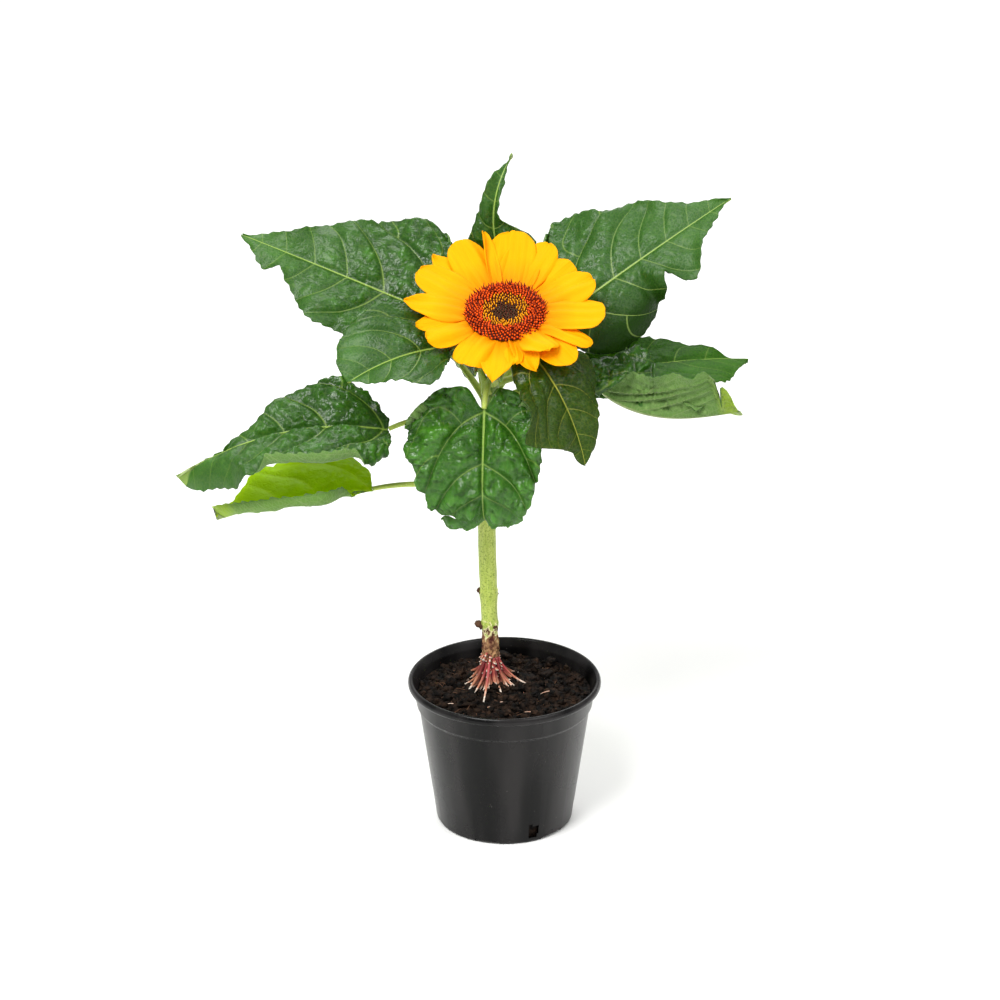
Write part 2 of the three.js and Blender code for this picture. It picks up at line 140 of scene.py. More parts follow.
def add_modifier(piece, kind, **settings):
    modifier = piece.modifiers.new(kind.title(), kind)
    for key, value in settings.items():
        setattr(modifier, key, value)


def point_layer(bm, name="tone"):
    """The bmesh's layer of three numbers on each point, which a material can read by its name."""
    layers = bm.verts.layers.float_vector
    return layers.get(name) or layers.new(name)


def rolled_grid(bm, steps, sides, place):
    """Adds a tube: a flat grid whose points place() moves, given 0..1 along and 0..1 round."""
    made = bmesh.ops.create_grid(bm, x_segments=steps, y_segments=sides, size=0.5)
    verts = made["verts"]
    for v in verts:
        v.co = place(v.co.x + 0.5, v.co.y + 0.5)
    bmesh.ops.remove_doubles(bm, verts=verts, dist=1e-4)
    return [v for v in verts if v.is_valid]


print("a piece 1 mm long is kept as", MM, "m")

# %% [markdown]
# ## Materials
#
# Every material below is a small graph of nodes. Colours are written as the hex values that a
# painter would pick on a screen, and one function turns them linear, which is what light needs.
# One more function adds a node, sets it and links it, so that a material reads as a short recipe.
# Sockets go by name or by number: a Map Range takes its value at 0, the range it comes from at 1
# and 2 and the range it goes to at 3 and 4, and a Mix takes its share at 0 and its colours at 6
# and 7.

# %% Material helpers
SPLIT = slice(3)  # asks for all three outputs of a node that separates a vector


def linear(hex_colour):
    """An sRGB hex colour as a linear colour with alpha."""
    channels = [int(hex_colour[i : i + 2], 16) / 255 for i in (1, 3, 5)]
    return [c / 12.92 if c <= 0.04045 else ((c + 0.055) / 1.055) ** 2.4 for c in channels] + [1.0]


def new_material(name):
    """An empty material, and the function that adds a node with its settings and links to it."""
    material = bpy.data.materials.new(name)
    material.use_nodes = True
    tree = material.node_tree
    tree.nodes.clear()

    def add(kind, inputs=None, out=0, **settings):
        """An input may be a plain value, a hex colour or another node's output. Gives one output."""
        made = tree.nodes.new("ShaderNode" + kind)
        if kind == "Mix":  # every Mix below blends colours, which come out of its third output
            made.data_type, out = "RGBA", 2
        for key, value in settings.items():
            setattr(made, key, value)
        for key, value in (inputs or {}).items():
            if isinstance(value, bpy.types.NodeSocket):
                tree.links.new(value, made.inputs[key])
            else:
                made.inputs[key].default_value = linear(value) if isinstance(value, str) else value
        return made.outputs[out] if made.outputs else made

    return material, add


def add_surface(add, skin, glow=None, share=0.3):
    """Ends a material: an opaque skin, or a thin one through which a share of the light glows."""
    surface = add("BsdfPrincipled", skin)
    if glow:
        surface = add("MixShader", {0: share, 1: surface, 2: add("BsdfTranslucent", glow)})
    add("OutputMaterial", {"Surface": surface})


print("mid grey is", [round(c, 3) for c in linear("#808080")])

# %% [markdown]
# ## Studio
#
# The plant stands on a plain pale floor under soft light, as for a catalogue. The camera looks
# down at it by 23 degrees through a long lens, which keeps the pot's sides nearly parallel. One
# large softbox at the front left gives the glossy leaves their broad pale highlights, a weaker one
# at the right opens the shadows, and a very broad one behind lights the floor and thin leaf edges.

# %% Camera, floor and light
CAMERA = {"elevation": 23.3, "distance": 2.5, "lens": 137.1, "aim": (-0.003, 0.0, 0.2316)}

camera_data = bpy.data.cameras.new("camera")
camera_data.lens = CAMERA["lens"]
camera_data.sensor_width = 36
camera = add_object("camera", camera_data)
sight = heading(90, -CAMERA["elevation"])
camera.location = Vector(CAMERA["aim"]) - sight * CAMERA["distance"]
camera.rotation_euler = sight.to_track_quat("-Z", "Y").to_euler()
bpy.context.scene.camera = camera


def softbox(name, azimuth, elevation, distance, size, power):
    light_data = bpy.data.lights.new(name, "AREA")
    light_data.shape = "DISK"
    light_data.size = size
    light_data.energy = power
    light = add_object(name, light_data)
    aim = Vector((0, 0, 0.3))
    light.location = aim + heading(azimuth, elevation) * distance
    light.rotation_euler = (aim - light.location).to_track_quat("-Z", "Y").to_euler()


softbox("softbox_key", 236, 52, 1.9, 1.0, 42)
softbox("softbox_fill", 318, 40, 2.1, 1.1, 13)
softbox("softbox_back", 85, 50, 3.0, 2.4, 60)

world = bpy.data.worlds.new("studio")
bpy.context.scene.world = world
world.use_nodes = True
background = world.node_tree.nodes["Background"]
background.inputs["Color"].default_value = (1, 1, 1, 1)
background.inputs["Strength"].default_value = 0.45
bpy.context.scene.view_settings.view_transform = "Standard"

# Painted board, matt white: it takes soft shadows and mirrors nothing.
floor_paint, add = new_material("painted_board")
add_surface(add, {"Base Color": "#f7f7f5", "Roughness": 0.9})
bm = bmesh.new()
bmesh.ops.create_circle(bm, cap_ends=True, segments=96, radius=6)
floor_board = mesh_object(bm, "floor", [floor_paint], scale=1)
print("camera at", [round(c, 3) for c in camera.location])

# %% [markdown]
# ## How a limb bends
#
# A stalk or a midrib leaves its parent in one direction and then sags or lifts in an upright
# plane. The line is walked in short steps, and its pitch changes evenly from step to step. Each
# point also knows which way is ahead, left and up, so that anything can be built round the line.

# %% Bent lines
LINE_STEPS = 48


def bent_line(start, turn, pitch, length, sag=0, hook=0):
    def pitch_at(t):
        return pitch + sag * t + hook * t**3

    points = [start.copy()]
    for i in range(LINE_STEPS):
        ahead = heading(turn, pitch_at((i + 0.5) / LINE_STEPS))
        points.append(points[-1] + ahead * (length / LINE_STEPS))
    left = heading(turn + 90, 0)

    def at(t):
        inside = min(max(t, 0.0), 1.0)
        k = min(int(inside * LINE_STEPS), LINE_STEPS - 1)
        ahead = heading(turn, pitch_at(inside))
        point = points[k].lerp(points[k + 1], inside * LINE_STEPS - k) + ahead * ((t - inside) * length)
        return point, ahead, left, ahead.cross(left)

    return at


# %% [markdown]
# ## The stem's line
#
# The stem is the one limb that isn't evenly bent: it leans to the left as it rises, and comes back
# under the head, whose axis it has to meet. A cubic curve with four points does that with no kink.
# The leaves need to know where it runs and how thick it is, so its line comes now, its skin later.

# %% The stem's line
pot_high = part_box("pot")[1] / MM
RIM_RADIUS = pot_high.x
POT_HEIGHT = pot_high.z
SLACK = 0.4  # left open between two pieces, as between their solids

HEAD_CENTRE = Vector((0.5, -7, 364))
HEAD_AXIS = heading(268, 90 - 24)
HEAD_BACK = 15
NECK = HEAD_CENTRE - HEAD_AXIS * (HEAD_BACK + SLACK)
FOOT = Vector((-9, 7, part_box("stem")[0].z / MM))
STEM_FOOT, STEM_MID, STEM_TOP, STEM_NECK = 4.8, 5.9, 4.3, 6.2  # radii, from the foot up
NODES = [138, 160, 214, 262, 300]  # heights of the swollen joints
STEM_BEND = [
    FOOT,
    Vector((FOOT.x - 1.5, FOOT.y, mix(FOOT.z, NECK.z, 0.38))),
    NECK - HEAD_AXIS * 62 + Vector((-20, 0, 0)),
    NECK,
]


def stem_point(t):
    a, b, c, d = STEM_BEND
    s = 1 - t
    return a * s**3 + b * (3 * s * s * t) + c * (3 * s * t * t) + d * t**3


def stem_frame(t):
    before, after = max(t - 0.001, 0), min(t + 0.001, 1)
    ahead = (stem_point(after) - stem_point(before)).normalized()
    ahead = ahead.lerp(HEAD_AXIS, smooth(t, 0.88, 1)).normalized()
    left = Vector((0, 1, 0)).cross(ahead).normalized()
    return stem_point(t), ahead, left, ahead.cross(left)


def stem_at(z):
    """How far along the stem a height is, from 0 to 1, by halving."""
    low, high = 0.0, 1.0
    for _ in range(30):
        t = (low + high) / 2
        if stem_point(t).z < z:
            low = t
        else:
            high = t
    return low


def stem_radius(t):
    z = stem_point(t).z
    lower = mix(STEM_FOOT, STEM_MID, smooth(t, 0.04, 0.3))
    plain = mix(lower, STEM_TOP, smooth(t, 0.4, 0.95))
    swell = sum(0.55 * bell(z - joint, 4) for joint in NODES)
    return plain + swell + (STEM_NECK - STEM_TOP) * smooth(t, 0.93, 1)


print("stem from", FOOT.to_tuple(1), "to", NECK.to_tuple(1))

# %% [markdown]
# ## Where each leaf grows
#
# A row gives the height at which the stalk leaves the stem, the stalk's own bend, and the blade's
# bend, width and folding, by the same rule as the solids, so each leaf lies in the space of its
# solid. The rest is the visible life of the blade: how deep its teeth are, how much its edge
# ripples, where the edge is torn, lobed or rolled over, and how crinkled it is.

# %% Leaf rows
# stalk and line: turn, pitch, length, sag and hook, as a bent line takes them. marks, where the edge
# stands out or is torn: place, side (1 left, -1 right), extra half-width, spread. curls, where it
# rolls: side, from, to, width of the strip, angle. veins: where the side veins leave the midrib.
def bend(turn, pitch, length, sag, hook=0):
    return dict(turn=turn, pitch=pitch, length=length, sag=sag, hook=hook)


LEAVES = {
    "upper_left": dict(
        z=322, outline="heart", stalk=bend(135, 40, 48, -25), line=bend(165, 19, 145, -2), width=126,
        lobe=0.08, roll=-36, fold=4, cup=-12, left_outline="round", left_share=0.64,
        marks=((0.78, 1, -10, 0.045), (0.7, 1, -6, 0.06), (0.54, 1, 5, 0.08), (0.93, 1, -4, 0.08),
            (0.66, -1, 2, 0.07), (0.78, -1, -4, 0.05), (0.42, -1, 2, 0.06), (0.06, -1, -11, 0.1),
            (0.92, -1, 2, 0.05)),
        veins=(0.03, 0.3, 0.48, 0.64, 0.78, 0.9), crinkle=1.0,
    ),
    "left_inner": dict(
        z=307.5, outline="oval", stalk=bend(217, 79, 41, -40), line=bend(203, 8, 80, -36), width=76, lobe=0,
        roll=-26, fold=18, cup=-10, right_outline="square", right_share=0.95,
        marks=((0.02, 1, -30, 0.2), (0.24, 1, -5, 0.1), (0.48, 1, 3, 0.1), (0.97, -1, -4, 0.06)),
        veins=(0.03, 0.34, 0.6, 0.8), crinkle=0.5,
    ),
    "mid_left": dict(
        z=290, outline="egg", stalk=bend(190, 23, 62, -46), line=bend(187, 12, 145, -46), drop=8, width=96,
        lobe=0, roll=-20, fold=18, cup=-12, left_outline="round", right_share=0.72,
        marks=((0.8, 1, 4, 0.12), (0.34, 1, 8, 0.3), (0.85, -1, -14, 0.12), (0.6, -1, -6, 0.1),
            (0.0, -1, -7, 0.08), (0.0, 1, -6, 0.08)),
        curls=((1, 0.08, 0.68, 12, 130), (1, 0.66, 1.1, 24, -75)), calm=(0.4, 1.1),
        veins=(0.02, 0.28, 0.47, 0.64, 0.79), crinkle=1.1,
    ),
    "low_left": dict(
        z=236, outline="oval", stalk=bend(186, 20, 70, -30), line=bend(187, 1, 104, -20), drop=4, width=80,
        lobe=0, roll=-4, fold=18, cup=-8, left_outline="round", left_share=1.1, right_share=1.14,
        marks=((0.05, 1, -29, 0.15), (0.0, -1, -5, 0.1), (0.93, -1, -2, 0.1)),
        curls=((1, 0.1, 1.3, 11, 120),), veins=(0.02, 0.36, 0.6, 0.8), crinkle=0.35, skin="lit",
    ),
    "front": dict(
        z=314, outline="round", stalk=bend(261, 36, 37, -95), line=bend(264, -70, 99, -10, -110), width=90,
        lobe=0.14, lobe_peak=0.26, fold=4, cup=-16, left_share=0.82, right_share=1.06,
        marks=((0.02, -1, 13, 0.12), (0.02, 1, 8, 0.13), (0.28, -1, 3, 0.08), (0.42, -1, -4, 0.08),
            (0.62, -1, -3, 0.08), (0.745, -1, -9, 0.04), (0.775, -1, -9, 0.026), (0.845, -1, 5, 0.035),
            (0.94, -1, -4, 0.05), (0.88, 1, 10, 0.08)),
        calm=(0.6, 1.4), veins=(0.02, 0.36, 0.58, 0.8), crinkle=1.9, teeth=1.0, skin="bright",
    ),
    "front_right": dict(
        z=328, outline="round", stalk=bend(306, 49, 41, -50), line=bend(317, -35, 79, -40), width=74,
        lobe=0.1, fold=6, cup=-14, left_share=0.76, right_share=0.95,
        marks=((0.08, -1, -6, 0.12), (0.22, -1, -6, 0.08), (0.66, -1, 16, 0.12), (0.87, -1, -8, 0.07),
            (0.16, 1, 8, 0.12), (0.38, 1, 4, 0.12), (0.72, 1, -4, 0.1)),
        curls=((-1, -0.3, 0.34, 20, -60),), veins=(0.02, 0.3, 0.52, 0.74), crinkle=0.9, teeth=1.1,
        skin="dark",
    ),
    "upper_right": dict(
        z=326, outline="heart", stalk=bend(28, 41, 58, -25), line=bend(19, 32, 127, -4), width=122,
        lobe=0.1, roll=30, fold=4, cup=-12, right_share=0.8,
        marks=((0.0, -1, 6, 0.1), (0.49, -1, -15, 0.045), (0.63, -1, 7, 0.08), (0.41, -1, -6, 0.05),
            (0.3, -1, -2, 0.06), (0.3, 1, 1, 0.06), (0.44, 1, -6, 0.07), (0.6, 1, 5, 0.07),
            (0.06, 1, -9, 0.08)),
        curls=((-1, -0.3, 0.5, 34, -95), (1, -0.3, 0.2, 32, 30)), calm=(0.35, 0.9),
        veins=(0.03, 0.27, 0.44, 0.6, 0.74, 0.87), crinkle=0.7, skin="pale",
    ),
    "right_back": dict(
        z=310, outline="oval", stalk=bend(28, 9, 71, -30), line=bend(16, 8, 109, -16), width=84, roll=6,
        fold=8, cup=-10, left_share=0.68,
        marks=((0.7, -1, 16, 0.2), (0.85, 1, -7, 0.1), (0.3, 1, 7, 0.06), (0.46, 1, -5, 0.07),
            (0.64, 1, 3, 0.06), (0.92, -1, 3, 0.05)),
        calm=(0.3, 0.8), veins=(0.02, 0.3, 0.52, 0.72, 0.87), crinkle=0.7, teeth=1.2, skin="thin",
    ),
    "right_curled": dict(
        z=298, outline="club", stalk=bend(354, 30, 63, -30), line=bend(344, -46, 105, 101, -42), width=76,
        lobe=0.08, fold_left=42, fold_right=78, tip_fold=52, left_outline="egg", right_share=0.8,
        marks=((0.85, -1, 8, 0.06), (0.905, -1, -20, 0.025), (0.955, -1, 10, 0.03)),
        curls=((1, 0.3, 0.85, 11, 170),), veins=(0.02, 0.16, 0.34, 0.55, 0.78), vein_slope=2.6, crinkle=1.4,
        teeth=1.2,
    ),
    "top": dict(
        z=316, outline="heart", stalk=bend(86, 31, 83, 30), line=bend(50, 122, 75, -84), width=38, lobe=0,
        roll=-30, fold=50, fold_right=-40, left_share=0.68, right_share=0.3,
        marks=((0.25, -1, 27, 0.1), (0.1, 1, 5, 0.2)), veins=(0.02, 0.3, 0.55, 0.78), crinkle=0.5,
        teeth=1.0,
    ),
    "back": dict(
        z=274, outline="oval", stalk=bend(95, 30, 62, -20), line=bend(92, 10, 97, -40), width=80, fold=8,
        cup=-14, marks=((0.1, 1, -24, 0.25),),
    ),
    "back_left": dict(
        z=296, outline="oval", stalk=bend(126, 36, 58, -20), line=bend(130, 14, 98, -40), width=78, fold=8,
        cup=-14,
    ),
    "back_right": dict(
        z=302, outline="oval", stalk=bend(52, 36, 58, -20), line=bend(48, 14, 98, -40), width=78, fold=8,
        cup=-14,
    ),
    "low_back": dict(
        z=256, outline="round", stalk=bend(91, 6, 31, -20), line=bend(95, -17, 77, -60), width=72, fold=6,
        cup=-14,
    ),
}
PLAIN_LEAF = dict(
    lobe=0.17, lobe_peak=0.5, roll=0, cup=0, left_share=1, right_share=1, left_outline=None,
    right_outline=None, fold_left=None, fold_right=None, tip_fold=None, teeth=1.5, ripple=2.6,
    ripple_length=41, crinkle=1.0, marks=(), curls=(), skin="fresh", drop=0, vein_slope=0.45,
    calm=(0.3, 0.95), veins=(0.02, 0.26, 0.44, 0.6, 0.74, 0.87),
)
for order, (name, row) in enumerate(LEAVES.items()):
    LEAVES[name] = {**PLAIN_LEAF, "seed": order * 13, **row}
print("leaves:", len(LEAVES))

# %% [markdown]
# ## Blade outlines
#
# A blade fills out from its base and narrows to its tip. The outline could be drawn point by point,
# but two powers say it all: one is how fast it fills, and the other how sharply it comes to a tip.
# The same formula then serves the petals and the bracts.

# %% Blade outlines
BLADE_TIP = 0.004


def shares(fill, point, foot=0.1):
    """Half-width from the base at 0 to the tip at 1, as a share of its largest value."""
    def at(u):
        return max(u + foot, 0.0) ** fill * max(1 - u + BLADE_TIP, 0.0) ** point

    peak = max(at(i / 100) for i in range(101))
    return lambda u: at(u) / peak


OUTLINES = {
    "heart": shares(0.33, 1.3, 0.05),
    "oval": shares(0.48, 0.98),
    "egg": shares(0.5, 1.7, 0.03),
    "round": shares(0.45, 0.78),
    "club": shares(0.9, 0.5),
    "square": shares(0.35, 0.34, 0.05),
}


def lobe_share(v, peak):
    """How far the base edge swings back beside the stalk: two round lobes and a notch."""
    a = abs(v)
    if a < peak:
        return (1 - cos(pi * a / peak)) / 2
    past = (a - peak) / (1 - peak)
    return sqrt(max(0.0, 1 - past * past))


def arc(slope, turn, length, q):
    """Across and rise at distance q along an arc that starts at a slope and turns over a length."""
    k = turn / length
    if abs(k) < 1e-6:
        return q * cos(slope), q * sin(slope)
    return (sin(slope + k * q) - sin(slope)) / k, (cos(slope) - cos(slope + k * q)) / k


print("heart at a fifth:", round(OUTLINES["heart"](0.2), 2))

# %% [markdown]
# ## Leaf blades
#
# A sunflower leaf is broad and heart-shaped, with a toothed edge. Three strong veins part at its
# base, paler than the blade and sunk into it, and the skin between the smaller veins is blistered
# like quilting. A flat image of veins would never catch the light the way those blisters do, so
# the relief is made in the mesh. Each blade is a fine grid, bent along its line, and then pushed in
# and out along its normals. The same numbers that make the valleys, the distance along, the
# distance across and the place between two side veins, are kept on the points as attributes,
# and the material draws the veins from them, exactly in the valleys.

# %% The shape of one blade
CELL = 1.15  # size of a grid cell
VEIN_SWEEP = 1.5  # how strongly side veins bend forward towards the edge
BRANCH_SPACE = 14.0  # between the outer branches of the two lowest side veins
TIP_VEIN_SPACE = 0.13  # beyond the last side vein named, as a share of the length


def vein_phase(row, x, y):
    """Whole numbers lie on the side veins. Below 0 is the lobe outside the lowest pair."""
    length, veins = row["line"]["length"], row["veins"]
    far = abs(y) / (row["width"] / 2)
    s = (x - abs(y) * (row["vein_slope"] + VEIN_SWEEP * far * far)) / length
    if s <= veins[0]:
        return (s - veins[0]) / (veins[1] - veins[0]), s
    for k in range(len(veins) - 1):
        if s < veins[k + 1]:
            return k + (s - veins[k]) / (veins[k + 1] - veins[k]), s
    return len(veins) - 1 + (s - veins[-1]) / TIP_VEIN_SPACE, s


def half_width(row, u, side):
    named = row["left_outline"] if side > 0 else row["right_outline"]
    share = row["left_share"] if side > 0 else row["right_share"]
    half = row["width"] / 2 * OUTLINES[named or row["outline"]](u) * share
    for where, mark_side, size, spread in row["marks"]:
        if mark_side == side:
            half += size * bell(u - where, spread) * smooth(1 - u, 0, 0.06)
    return max(half, 0.15)


def margin_table(row, side):
    """Length walked along the blade's edge at each hundredth of the way from base to tip."""
    table = [0.0]
    for i in range(100):
        du = row["line"]["length"] / 100
        dw = half_width(row, (i + 1) / 100, side) - half_width(row, i / 100, side)
        table.append(table[-1] + hypot(du, dw))
    return table


def edge_walk(margins, u, side):
    i = min(int(u * 100), 99)
    return mix(margins[side][i], margins[side][i + 1], u * 100 - i)


TOOTH_SPACE = 7.5


def tooth(row, walked, side):
    """How far the edge stands out: saw teeth that point to the tip, of uneven size."""
    turns = walked / TOOTH_SPACE + 0.3 * side
    i = floor(turns)
    f = turns - i
    rise = f / 0.75 if f < 0.75 else (1 - f) / 0.25
    return row["teeth"] * rise * (0.4 + 1.1 * chance(i, row["seed"] + side))


def blade_point(line, row, u, v, margins):
    """A point of the smooth blade, its millimetres along and across, and if it is rolled over."""
    side = 1 if v > 0 else -1
    length = row["line"]["length"]
    back = row["lobe"] * lobe_share(v, row["lobe_peak"]) * (1 - u) ** 3
    shoulder = 0.5 * max(abs(v) - 0.55, 0.0) ** 2 * (1 - u) ** 12
    along = u - back + shoulder
    point, _, left, up = line(along)
    half = half_width(row, u, side)
    q = half * abs(v)
    jag = tooth(row, edge_walk(margins, u, side), side) * smooth(u, 0, 0.04) * smooth(1 - u, 0, 0.1)
    # A margin that rolls keeps its teeth to the very edge, so that the roll stays round.
    q += jag * abs(v) ** (40 if any(side == curl[0] for curl in row["curls"]) else 7)
    fold = row["fold_left"] if side > 0 else row["fold_right"]
    fold = row["fold"] if fold is None else fold
    if row["tip_fold"] is not None and side < 0:
        fold = mix(fold, row["tip_fold"], smooth(u, 0.88, 0.93))
    fold = radians(fold)
    cup = radians(row["cup"])
    ease = smooth(u, -0.1, 0.25)
    reach = row["width"] / 2
    across, rise = arc(fold * ease, cup * ease, reach, q)
    rolled = 0.0
    for curl_side, first, last, strip, angle in row["curls"]:
        wide = strip * smooth(u, first - 0.02, first + 0.1) * (1 - smooth(u, last - 0.12, last))
        start = half - wide
        if curl_side == side and wide > 0.5 and q > start:
            slope = fold * ease + cup * ease / reach * start
            across, rise = arc(fold * ease, cup * ease, reach, start)
            more = arc(slope, radians(angle), strip, q - start)
            across, rise = across + more[0], rise + more[1]
            rolled = smooth(q - start, 0, strip / 3)
    leftward, upward = turned(left, up, radians(row["roll"]))
    place = point + leftward * (across * side) + upward * rise
    return place, along * length, q * side, rolled


CROSS_SPACE = 6.2  # between the small cross veins that join two side veins


def crumple(row, x, y):
    """Skin puffed up in small uneven cells, longer across the blade, with sharp valleys between."""
    at = Vector((x / 13, y / 13, row["seed"] * 3.1))
    warp = Vector((noise.noise(at), noise.noise(at + Vector((7.7, 2.1, 0))), 0))
    slant = (x - 0.5 * abs(y)) / 5.2, (abs(y) + 0.5 * x) / 1.68 / CROSS_SPACE
    near, _ = noise.voronoi(Vector((*slant, row["seed"] + y / 400)) + 1.5 * warp)
    cell = smooth(near[1] - near[0], 0.0, 0.55) * (1 - 0.5 * near[0])
    coarse = abs(noise.noise(at * 1.3 + Vector((9.1, 4.4, 0))))
    fine = abs(noise.noise(at * 3.3 + Vector((5.2, 1.3, 0))))
    return 1.9 * cell + 3.2 * coarse + 1.1 * fine, min(0.75 * cell + 0.9 * coarse + 0.4 * fine, 1.0)


def relief(row, x, y, u, v, phase):
    """Height of the skin over the smooth blade, and how much of a bump it is, from 0 to 1."""
    half = row["width"] / 2
    rough = row["crinkle"] * (1 - 0.86 * smooth(u + 0.3 * abs(v) ** 3, *row["calm"]))
    spread = smooth(abs(y), 0.5, 0.3 * half)
    between = abs(phase - round(phase)) if phase > -0.5 else 0.5
    pillow = sin(pi * between) ** 0.6 * 2.4 * spread
    rib = -1.4 * bell(y, 2.4) * (1 - 0.6 * u)
    valley = smooth(min(abs(y) / 4, between * 5), 0.0, 1.0)
    bumps, tone = crumple(row, x, y)
    swell = ripple_at(x / 30, y / 30, row["seed"]) * 5.0 * smooth(abs(v), 0.0, 0.8)
    most = min(rough, 1.0)
    height = rib + pillow * (0.5 + 0.4 * most) + rough * bumps * valley + swell * smooth(u, 0, 0.2)
    return height, tone * valley * most


print("teeth on a full edge:", int(150 / TOOTH_SPACE))

# %% [markdown]
# The skin of a leaf is waxed and slightly glossy on the crinkled inner half, and duller towards the
# tip. It is thin enough to glow yellow-green when light comes through it, so the shader mixes an
# opaque waxed surface with a translucent one. The underside has no wax and is covered in fine
# hairs, which makes it paler, greyer and matt, with the veins standing out.

# %% Leaf materials
def vein_mask(add, place, tone):
    """1 on a vein and 0 off it: midrib, side veins and the branches in the two base lobes."""
    _, y, phase = add("SeparateXYZ", {0: place}, SPLIT)
    branch, _, u = add("SeparateXYZ", {0: tone}, SPLIT)
    off_rib = add("Math", {0: y}, operation="ABSOLUTE")
    rib_width = add("MapRange", {0: u, 1: 0.0, 2: 1.0, 3: 0.85, 4: 0.18})
    rib = add("Math", {0: off_rib, 1: rib_width}, operation="DIVIDE")
    rib = add("MapRange", {0: rib, 1: 1.2, 2: 0.5}, interpolation_type="SMOOTHSTEP")
    to_side = add("Math", {0: phase, 1: 0.5}, operation="PINGPONG")
    thin = add("MapRange", {0: off_rib, 1: 0.0, 2: 45.0, 3: 0.024, 4: 0.009})
    side = add("Math", {0: to_side, 1: thin}, operation="DIVIDE")
    side = add("MapRange", {0: side, 1: 1.3, 2: 0.3}, interpolation_type="SMOOTHSTEP")
    faint = add("MapRange", {0: phase, 1: 0.0, 2: 4.0, 3: 0.95, 4: 0.45})
    side = add("Math", {0: side, 1: faint}, operation="MULTIPLY")
    real = add("Math", {0: phase, 1: -0.3}, operation="GREATER_THAN")
    side = add("Math", {0: side, 1: real}, operation="MULTIPLY")
    side = add("Math", {0: side, 1: 0.62}, operation="MULTIPLY")
    to_branch = add("Math", {0: branch, 1: 0.5}, operation="PINGPONG")
    outer = add("MapRange", {0: to_branch, 1: 0.026, 2: 0.006})
    lobe = add("Math", {0: phase, 1: 0.0}, operation="LESS_THAN")
    outer = add("Math", {0: outer, 1: lobe}, operation="MULTIPLY")
    mask = add("Math", {0: rib, 1: side}, operation="MAXIMUM")
    outer = add("Math", {0: outer, 1: 0.4}, operation="MULTIPLY")
    return add("Math", {0: mask, 1: outer}, operation="MAXIMUM")


def leaf_skin(name, dark, light, pale, vein, glow, thin=0.3, gloss=0.3, shine=0.5, shade=0.0):
    """Waxed upper skin. dark is painted shade in the valleys, light a painted highlight on the blisters,
    and pale lies towards the tip.
    """
    material, add = new_material(name)
    place = add("Attribute", out="Vector", attribute_name="place")
    tone = add("Attribute", out="Vector", attribute_name="tone")
    veins = vein_mask(add, place, tone)
    _, cells, u = add("SeparateXYZ", {0: tone}, SPLIT)
    # Millimetres along and across, without the place between veins, carry the finer patterns.
    flat = add("VectorMath", {0: place, 1: (1, 1, 0)}, operation="MULTIPLY")
    patch = add("TexNoise", {"Vector": flat, "Scale": 0.055, "Detail": 3})
    # Painted shade and highlight: the skin is darker in the valleys of the relief and lighter on the tops
    # of the blisters.
    body = add("Mix", {0: cells, 6: dark, 7: light})
    toward_tip = add("MapRange", {0: u, 1: 0.25, 2: 1.0, 3: 0.1, 4: 0.9})
    body = add("Mix", {0: toward_tip, 6: body, 7: pale})
    dull = add("MapRange", {0: patch, 1: 0.35, 2: 0.7, 3: 0.0, 4: 0.6})
    body = add("Mix", {0: dull, 6: body, 7: dark})
    # Painted shade: the right-hand lobe beside the stalk lies bent down under the flower, away from the
    # light, and is darkened by the share given.
    _, y, _ = add("SeparateXYZ", {0: place}, SPLIT)
    right = add("MapRange", {0: y, 1: -6.0, 2: -30.0, 3: 0.0, 4: shade})
    early = add("MapRange", {0: u, 1: 0.62, 2: 0.38})
    painted_lobe_shade = add("Math", {0: right, 1: early}, operation="MULTIPLY")
    # The finest net of veins has meshes of about 2.4 mm.
    net = add("TexVoronoi", {"Vector": flat, "Scale": 0.42}, feature="DISTANCE_TO_EDGE")
    fine = add("MapRange", {0: net, 1: 0.08, 2: 0.0, 3: 0.0, 4: 0.13})
    body = add("Mix", {0: fine, 6: body, 7: vein})
    body = add("Mix", {0: painted_lobe_shade, 6: body, 7: "#163002"})
    colour = add("Mix", {0: veins, 6: body, 7: vein})
    rough = add("MapRange", {0: u, 1: 0.2, 2: 0.9, 3: gloss, 4: gloss + 0.2})
    domes = add("MapRange", {0: net, 1: 0.0, 2: 0.4}, interpolation_type="SMOOTHSTEP")
    grain = add("TexNoise", {"Vector": flat, "Scale": 1.3, "Detail": 2})
    height = add("Math", {0: grain, 1: 0.35, 2: domes}, operation="MULTIPLY_ADD")
    bump = add("Bump", {"Height": height, "Strength": 0.5, "Distance": 0.0003})
    # The painted shade also takes the shine away there and lets less light through.
    shines = add("MapRange", {0: painted_lobe_shade, 3: shine, 4: 0.12})
    thins = add("MapRange", {0: painted_lobe_shade, 3: thin, 4: 0.06})
    skin = {
        "Base Color": colour, "Roughness": rough, "IOR": 1.48, "Specular IOR Level": shines,
        "Normal": bump,
    }
    add_surface(add, skin, {"Color": glow, "Normal": bump}, thins)
    return material


